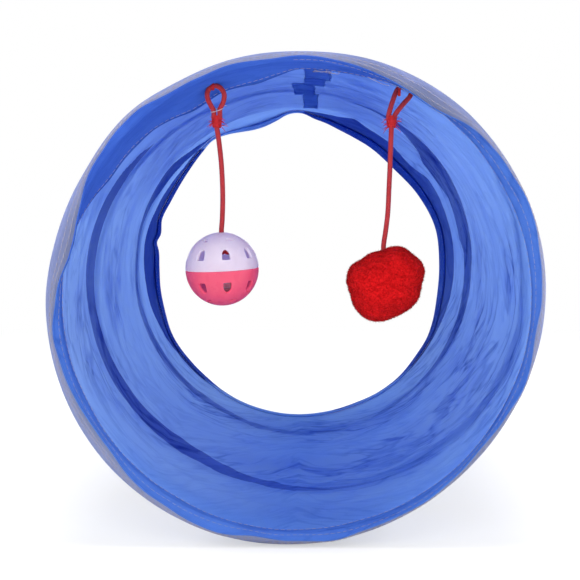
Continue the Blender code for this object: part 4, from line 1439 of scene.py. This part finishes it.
ballTack = buildTack("ballTack", hangAt(-0.0427, 0.1085), 83)
pompomTack = buildTack("pompomTack", hangAt(0.0527, 0.1054), 84)

knotShape = {"cord": 0.0012, "sides": 12, "steps": 96}


def buildKnot(name, centre, size):  # a cord tied round itself
    path = []
    for i in range(knotShape["steps"]):
        t = math.tau * i / knotShape["steps"]
        x, y = math.sin(t) + 2 * math.sin(2 * t), math.cos(t) - 2 * math.cos(2 * t)
        spot = Vector((x, y, -1.5 * math.sin(3 * t)))
        path.append(centre + spot * (size / 2 - knotShape["cord"]) / 3)
    return tubeAlong(name, path, knotShape["cord"], knotShape["sides"], redCord, closed=True)


neckShape = {"thread": 0.0002, "half": (0.0031, 0.0017), "rise": 0.0012, "height": 0.0962}


def buildNeckThread():  # thin thread round the neck of the ball's loop
    wide, deep = neckShape["half"]
    line = []
    for angle in np.linspace(-0.4, 9.4, 60):
        height = neckShape["height"] + neckShape["rise"] * math.sin(angle - 0.6)
        spot = hangAt(hangSides["ball"] + wide * math.sin(angle), height)
        line.append(spot + Vector((0, -deep * math.cos(angle), 0)))
    end = line[-1]
    line += [end + Vector((0.0007 * k, -0.0003 * k, 0.0006 * k - 0.00006 * k * k)) for k in range(1, 8)]
    return tubeAlong("ballNeckThread", line, neckShape["thread"], 6, whiteThread)


ballNeckThread = buildNeckThread()
ballKnot = buildKnot("ballKnot", hangAt(-0.0375, 0.0246), 0.0086)
pompomKnot = buildKnot("pompomKnot", hangAt(0.0458, 0.0067), 0.0052)
print("cords made")

ballShape = {
    "centre": (-0.0382, -0.2255, 0.14030),
    "radius": 0.0189,
    "wall": 0.0012,
    "hole": 0.0017,
    "gap": 0.35,  # between the halves, in degrees
    "softEdge": 0.00012,
    "archCount": 8,
    "archTurn": 11,
    "archWidth": 0.0043,
    "archHeight": 0.0063,
    "archElevation": 18,
    "arch": ((0.5, 0), (0.5, 0.3), (0.47, 0.55), (0.38, 0.76), (0.22, 0.93), (0, 1)),  # half of it
    "archSag": -0.02,
    "slotCount": 5,
    "slotTurn": 29,
    "slotLength": 0.0046,
    "slotWidth": 0.0019,
    "slotElevation": 55,
    "slotLean": 18,
    "tilt": (2.4, -2.7),  # towards the front and to the side
    "segments": 96,
}


def lathe(name, outline, segments, material):  # turns a closed outline of radius and height
    points, faces = [], []
    for i in range(segments):
        angle = math.tau * i / segments
        points += [(r * math.sin(angle), r * math.cos(angle), h) for r, h in outline]
    wide = len(outline)
    for i in range(segments):
        n = (i + 1) % segments
        for k in range(wide):
            m = (k + 1) % wide
            faces.append((i * wide + k, n * wide + k, n * wide + m, i * wide + m))
    item = addMesh(name, points, faces, material)
    mesh = bmesh.new()
    mesh.from_mesh(item.data)
    bmesh.ops.remove_doubles(mesh, verts=mesh.verts, dist=1e-7)
    bmesh.ops.recalc_face_normals(mesh, faces=mesh.faces)
    mesh.to_mesh(item.data)
    mesh.free()
    shadeSmooth(item.data)
    return item


def arcOf(radius, start, end, steps):
    angles = np.radians(np.linspace(start, end, steps))
    return [(radius * math.cos(a), radius * math.sin(a)) for a in angles]


def cutAway(item, cutter, softEdge=0, crossing=False):  # takes a bmesh out of a piece
    tool = addSolid(item.name + "Cutter", cutter, item.data.materials[0])
    difference = item.modifiers.new("cut", "BOOLEAN")
    difference.operation, difference.solver = "DIFFERENCE", "EXACT"
    difference.object, difference.use_self = tool, crossing
    if softEdge:
        edge = item.modifiers.new("softEdge", "BEVEL")
        edge.width, edge.segments = softEdge, 2
        edge.limit_method, edge.angle_limit = "ANGLE", math.radians(50)
    cut = plainMesh(item)
    item.modifiers.clear()
    bpy.data.objects.remove(tool)
    item.data = cut


def settle(item, matrix):  # moves a part to its place and keeps its edges crisp
    item.data.transform(matrix)
    shadeSmooth(item.data)
    item.data.set_sharp_from_angle(angle=math.radians(40))
    return item


def windowOutlines(way):  # turn and elevation of each window's corners
    radius = ballShape["radius"]
    right = ballShape["arch"]
    arch = [(-0.5, 0), (0, ballShape["archSag"]), *right, *[(-along, up) for along, up in right[-2:0:-1]]]
    outlines = []
    for i in range(ballShape["archCount"]):
        outline = []
        for along, up in arch:
            elevation = ballShape["archElevation"] + math.degrees(up * ballShape["archHeight"] / radius)
            spread = math.degrees(along * ballShape["archWidth"] / radius) / math.cos(math.radians(elevation))
            turn = ballShape["archTurn"] + 360 * i / ballShape["archCount"]
            outline.append((turn + spread, way * elevation))
        outlines.append(outline)
    lean, elevation = math.radians(ballShape["slotLean"]), ballShape["slotElevation"]
    for i in range(ballShape["slotCount"]):
        outline = []
        for step in range(16):
            angle = math.tau * step / 16
            long = ballShape["slotLength"] / 2 * math.cos(angle)
            short = ballShape["slotWidth"] / 2 * math.sin(angle)
            up = math.degrees((short * math.cos(lean) - long * math.sin(lean)) / radius)
            along = math.degrees((long * math.cos(lean) + short * math.sin(lean)) / radius)
            turn = ballShape["slotTurn"] + 360 * i / ballShape["slotCount"]
            outline.append((turn + along / math.cos(math.radians(elevation)), way * (elevation + up)))
        outlines.append(outline)
    return outlines


def buildShell(name, way, material):
    outer, inner = ballShape["radius"], ballShape["radius"] - ballShape["wall"]
    top, foot = 90 - math.degrees(ballShape["hole"] / outer), ballShape["gap"] * 2
    outline = arcOf(outer, foot, top, 26) + arcOf(inner, top, foot, 26)
    outline += [(inner, 0.0001), (outer - 0.00025, 0.0001)]
    shell = lathe(name, [(r, way * h) for r, h in outline], ballShape["segments"], material)
    cutter = bmesh.new()
    for window in windowOutlines(way):
        rows = []
        for scale in (0.85, 1.15):
            row = []
            for a, e in np.radians(window):
                aim = Vector((math.sin(a) * math.cos(e), -math.cos(a) * math.cos(e), math.sin(e)))
                row.append(cutter.verts.new(scale * outer * aim))
            rows.append(row)
            cutter.faces.new(row)
        for i in range(len(window)):
            n = (i + 1) % len(window)
            cutter.faces.new((rows[0][i], rows[0][n], rows[1][n], rows[1][i]))
    bmesh.ops.recalc_face_normals(cutter, faces=cutter.faces)
    cutAway(shell, cutter, softEdge=ballShape["softEdge"])
    lean, aside = (math.radians(angle) for angle in ballShape["tilt"])
    turned = Matrix.Rotation(lean, 4, "X") @ Matrix.Rotation(aside, 4, "Y")
    return settle(shell, Matrix.Translation(ballShape["centre"]) @ turned)


ballUpper = buildShell("ballUpper", 1, whitePlastic)
ballLower = buildShell("ballLower", -1, pinkPlastic)

bellShape = {
    "centre": (-0.0388, -0.2255, 0.13052),
    "radius": 0.0075,
    "wall": 0.0006,
    "flare": 0.0002,
    "slotWidth": 0.0012,
    "slotLength": 0.011,
    "slotHeight": 0.008,
    "slotDrop": 0.0065,
    "pellet": 0.0018,
    "pelletDrop": 0.0046,
    "segments": 48,
}


def buildBellCup(name, way):
    outer, inner = bellShape["radius"], bellShape["radius"] - bellShape["wall"]
    flared = outer + bellShape["flare"]
    outline = [(inner, 0.0001), (flared, 0.0001), (flared, 0.0003)]
    outline += arcOf(outer, 4, 90, 18) + arcOf(inner, 90, 2, 18)
    cup = lathe(name, [(r, way * h) for r, h in outline], bellShape["segments"], bellMetal)
    if way < 0:
        cutter = bmesh.new()
        long, wide = bellShape["slotLength"], bellShape["slotWidth"]
        for x, y in ((long, wide), (wide, long)):
            made = bmesh.ops.create_cube(cutter, size=1.0)
            sized = Matrix.Diagonal((x, y, bellShape["slotHeight"], 1))
            lowered = Matrix.Translation((0, 0, -bellShape["slotDrop"]))
            bmesh.ops.transform(cutter, matrix=lowered @ sized, verts=made["verts"])
        cutAway(cup, cutter, crossing=True)
    return settle(cup, Matrix.Translation(bellShape["centre"]))


bellUpperCup = buildBellCup("bellUpperCup", 1)
bellLowerCup = buildBellCup("bellLowerCup", -1)


def roundMesh(levels, radius):
    mesh = bmesh.new()
    bmesh.ops.create_icosphere(mesh, subdivisions=levels, radius=radius)
    return mesh


bellPellet = addSolid("bellPellet", roundMesh(3, bellShape["pellet"]), springSteel)
pelletCentre = Vector(bellShape["centre"]) - Vector((0, 0, bellShape["pelletDrop"]))
bellPellet.data.transform(Matrix.Translation(pelletCentre))
print("ball and bell made")

pompomShape = {
    "centre": (0.0458, -0.2255, 0.13242),
    # seen from the front, by angle from the right round over the top
    "outline": {
        0: 223.5, 20: 251, 30: 259, 45: 251, 67: 247, 83: 226, 96: 205, 116: 209, 136: 212, 156: 238,
        172: 239, 194: 223, 218: 231, 239: 237, 257: 229, 275: 214, 299: 203, 322: 214, 338: 224, 352: 222,
    },
    "unit": 0.0000841,
    "side": 0.0188,
    "lumps": 0.00035,
    "waves": ((5, 1.0), (11, 0.7), (23, 0.45)),  # how close and how high
}


def buildPompom():
    mesh = roundMesh(6, 1)
    spots = np.array([v.co for v in mesh.verts])
    turn = np.degrees(np.arctan2(spots[:, 2], spots[:, 0]))
    flat = aroundRing(pompomShape["outline"], turn) * pompomShape["unit"]
    share = smoothStep((np.hypot(spots[:, 0], spots[:, 2]) - 0.15) / 0.85)
    radius = pompomShape["side"] + (flat - pompomShape["side"]) * share
    random = np.random.default_rng(91)
    for scale, height in pompomShape["waves"]:
        aims = random.normal(size=(3, 3)) * scale
        phases = random.uniform(0, math.tau, 3)
        bends = [1.3 * np.sin(spots @ aims[(i + 1) % 3]) for i in range(3)]
        waves = sum(np.sin(spots @ aims[i] + phases[i] + bends[i]) for i in range(3)) / 3
        radius = radius + pompomShape["lumps"] * height * waves
    centre = Vector(pompomShape["centre"])
    for vert, r in zip(mesh.verts, radius):
        vert.co = centre + vert.co * r
    return addSolid("pompomBody", mesh, redFelt)


pompomBody = buildPompom()

fuzzShape = {"Density": 2600000.0, "Length": 0.0010, "Thickness": 0.00011, "Seed": 9}
fuzzSheet, fuzzInputs, fuzzKeys = growSheet("feltFuzz", fuzzShape)
fuzzSeed = fuzzInputs["Seed"]
fuzzSpots, fuzzOut = fuzzSheet.node("GeometryNodeDistributePointsOnFaces", None, {
    "Mesh": fuzzInputs["Geometry"], "Density": fuzzInputs["Density"], "Seed": fuzzSeed}, ("Points", "Normal"))
fuzzStray = fuzzSheet.node("FunctionNodeRandomValue", {"data_type": "FLOAT_VECTOR"}, {
    0: (-0.9, -0.9, -0.9), 1: (0.9, 0.9, 0.9), "Seed": fuzzSeed})
fuzzAim = fuzzSheet.node("ShaderNodeVectorMath", {"operation": "ADD"}, {0: fuzzOut, 1: fuzzStray})
fuzzTurn = fuzzSheet.node("FunctionNodeAlignRotationToVector", {"axis": "Z"}, {"Vector": fuzzAim})
fuzzVary = fuzzSheet.node("FunctionNodeRandomValue", None, {2: 0.4, 3: 1.15, "Seed": fuzzSeed}, 1)
fuzzCone = fuzzSheet.node("GeometryNodeMeshCone", None, {
    "Vertices": 3, "Side Segments": 1, "Radius Top": 0.0, "Radius Bottom": fuzzInputs["Thickness"],
    "Depth": fuzzInputs["Length"]})
fuzzSize = fuzzSheet.join(1.0, 1.0, fuzzVary)
fuzzSet = fuzzSheet.node("GeometryNodeInstanceOnPoints", None, {
    "Points": fuzzSpots, "Instance": fuzzCone, "Rotation": fuzzTurn, "Scale": fuzzSize})
growOut(fuzzSheet, fuzzSet, redFelt)
pompomFuzz = grow("pompomFuzz", pompomBody.data, fuzzSheet, fuzzKeys, fuzzShape)
print("pom-pom made,", len(pompomFuzz.data.polygons), "fibre faces")

# loose thread ends by the seam: turn and depth of both ends

strayThreads = (
    (4.6, 0.0268, 8.4, 0.0272),
    (5.6, 0.0274, 4.0, 0.0284),
    (7.2, 0.0262, 9.6, 0.0285),
    (8.2, 0.0270, 11.0, 0.0262),
    (9.4, 0.0280, 6.8, 0.0290),
    (18.5, 0.0200, 24.0, 0.0265),
    (33, 0.0120, 38, 0.0150),
)


def buildStrays():
    random = np.random.default_rng(95)
    parts = []
    for order, (turnA, depthA, turnB, depthB) in enumerate(strayThreads):
        line = []
        for share in np.linspace(0, 1, 12):
            turn = turnA + (turnB - turnA) * share + 0.5 * math.sin(share * 7 + order)
            depth = depthA + (depthB - depthA) * share + 0.0008 * math.sin(share * 5 + 2 * order)
            lift = 0.0003 + 0.0008 * math.sin(math.pi * share) * random.uniform(0.9, 1.1)
            line.append(Vector(placeOn(hemInside(turn, min(depth, 0.028)) - lift, turn, depth)))
        parts.append(tubeAlong(f"strayThread{order or 's'}", line, 0.00013, 6, whiteThread))
    return joinParts(parts)


strayThreadEnds = buildStrays()
print("thread ends made")


# what moves with what, what it stands for and what it is made of

pieces = (  # piece, body, slot, then the solids that it stands for
    (tunnelLining, "front_end", "blue_lining", "lining"),
    (tunnelCover, "front_end", "grey_cover", *[f"cover_bay_{i}" for i in range(1, 9)]),
    (springWire, "front_end", "spring_steel", "spring_wire"),
    (wireTape, "front_end", "blue_doubled", "wire_casing"),
    (liningSeam, "front_end", "blue_doubled", "lining_seam_strip"),
    (frontHem, "front_end", "blue_doubled", "front_hem"),
    (rearHem, "rear_end", "blue_doubled", "rear_hem"),
    (frontHemStitches, "front_end", "white_thread", "front_hem_stitching"),
    (frontLipStitches, "front_end", "white_thread", "front_edge_stitching"),
    (frontEdgeStitches, "front_end", "white_thread"),
    (rearHemStitches, "rear_end", "white_thread", "rear_hem_stitching"),
    (rearEdgeStitches, "rear_end", "white_thread", "rear_edge_stitching"),
    (strayThreadEnds, "front_end", "white_thread"),
    (ballTack, "front_end", "white_thread", "ball_loop_tack"),
    (pompomTack, "front_end", "white_thread", "pompom_loop_tack"),
    (ballCordLoop, "ball_loop", "red_cord", "ball_cord_loop"),
    (ballNeckThread, "ball_loop", None),
    (ballBinding, "ball_loop", "red_cord", "ball_cord_binding"),
    (ballCord, None, "red_cord", "ball_cord"),
    (ballKnot, "ball_hanger", "red_cord", "ball_cord_knot"),
    (ballUpper, "ball", "white_plastic", "ball_upper_shell"),
    (ballLower, "ball", "pink_plastic", "ball_lower_shell"),
    (bellUpperCup, "bell", "bell_metal", "bell_upper_cup"),
    (bellLowerCup, "bell", "bell_metal", "bell_lower_cup"),
    (bellPellet, "pellet", "spring_steel", "bell_pellet"),
    (pompomCordLoop, "pompom_loop", "red_cord", "pompom_cord_loop"),
    (pompomBinding, "pompom_loop", "red_cord", "pompom_cord_binding"),
    (pompomCord, None, "red_cord", "pompom_cord"),
    (pompomKnot, "pompom_hanger", "red_cord", "pompom_cord_knot"),
    (pompomBody, "pompom", "red_felt", "pompom"),
    (pompomFuzz, "pompom", "red_felt"),
)
for piece, body, slotName, *solids in pieces:
    if body:
        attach(piece, body)
    if solids:
        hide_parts(*solids)
for end, folded in (
    (-1, (tunnelLining, tunnelCover, springWire, wireTape, liningSeam, frontEdgeStitches)),
    (1, (rearHem, rearHemStitches, rearEdgeStitches)),
):
    for piece in folded:
        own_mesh(piece)
for cord, toy, lowEnd in (
    (ballCord, "ball", hangAt(-0.0388, 0.0313)),
    (pompomCord, "pompom", hangAt(0.0458, 0.0120)),
):
    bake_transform(cord)
for name in ("front_wire_ferrule", "rear_wire_ferrule"):
    nodes[name].data.materials.clear()
    nodes[name].data.materials.append(springSteel)

# floor, sky and lamps

studio = {
    "floorSize": 3.0,
    "floorColor": (0.82, 0.82, 0.82, 1),
    "floorGlow": 0.55,
    "glowFrom": 0.45,
    "glowTo": 1.2,
    "sky": 0.62,
    "lamps": (  # place, aim, size, power
        ("frontLamp", (0.0, -1.8, 0.95), (0, 0.1, 0.10), 1.0, 14),
        ("leftLamp", (-1.3, -0.1, 0.7), (0, 0, 0.13), 0.8, 16),
        ("rightLamp", (1.3, -0.1, 0.7), (0, 0, 0.13), 0.8, 16),
        ("topLamp", (0.0, -0.1, 1.6), (0, 0, 0.13), 0.8, 12),
        ("rearLamp", (0.1, 1.6, 0.6), (0, 0, 0.13), 0.9, 12),
    ),
}


def seenRays(sheet):  # 1 for what is seen straight, in a reflection or through something clear
    rays = ("Is Camera Ray", "Is Glossy Ray", "Is Transmission Ray")
    straight, mirrored, passed = sheet.node("ShaderNodeLightPath", output=rays)
    return straight.atLeast(mirrored).atLeast(passed)


def buildFloor():
    material, sheet = newFinish("paleFloor")
    plain = sheet.node("ShaderNodeBsdfPrincipled", None, {
        "Base Color": studio["floorColor"], "Roughness": 0.9})
    glow = sheet.node("ShaderNodeEmission", None, {"Color": (1, 1, 1, 1), "Strength": 1.0})
    away = sheet.node("ShaderNodeVectorMath", {"operation": "LENGTH"}, {0: sheet.place()}, 1)
    # pure white away from the object
    share = away.step(studio["glowFrom"], studio["glowTo"]) * (1 - studio["floorGlow"]) + studio["floorGlow"]
    finishWith(material, sheet, sheet.blend(seenRays(sheet) * share, plain, glow))
    half = studio["floorSize"] / 2
    corners = [(-half, -half, 0), (half, -half, 0), (half, half, 0), (-half, half, 0)]
    addMesh("studioFloor", corners, [(0, 1, 2, 3)], material)


def buildSky():
    world = bpy.data.worlds.new("paleSky")
    bpy.context.scene.world = world
    world.use_nodes = True
    world.node_tree.nodes.clear()
    sheet = NodeSheet(world.node_tree)
    strength = seenRays(sheet) * (1 - studio["sky"]) + studio["sky"]
    light = sheet.node("ShaderNodeBackground", None, {"Color": (1, 1, 1, 1), "Strength": strength})
    sheet.node("ShaderNodeOutputWorld", None, {"Surface": light})


def buildLamps():
    for name, place, aim, size, power in studio["lamps"]:
        data = bpy.data.lights.new(name, "AREA")
        data.shape, data.size, data.energy = "SQUARE", size, power
        lamp = addObject(name, data)
        lamp.location = place
        lamp.rotation_euler = (Vector(aim) - Vector(place)).to_track_quat("-Z", "Y").to_euler()


buildFloor()
buildSky()
buildLamps()
print("scene ready")
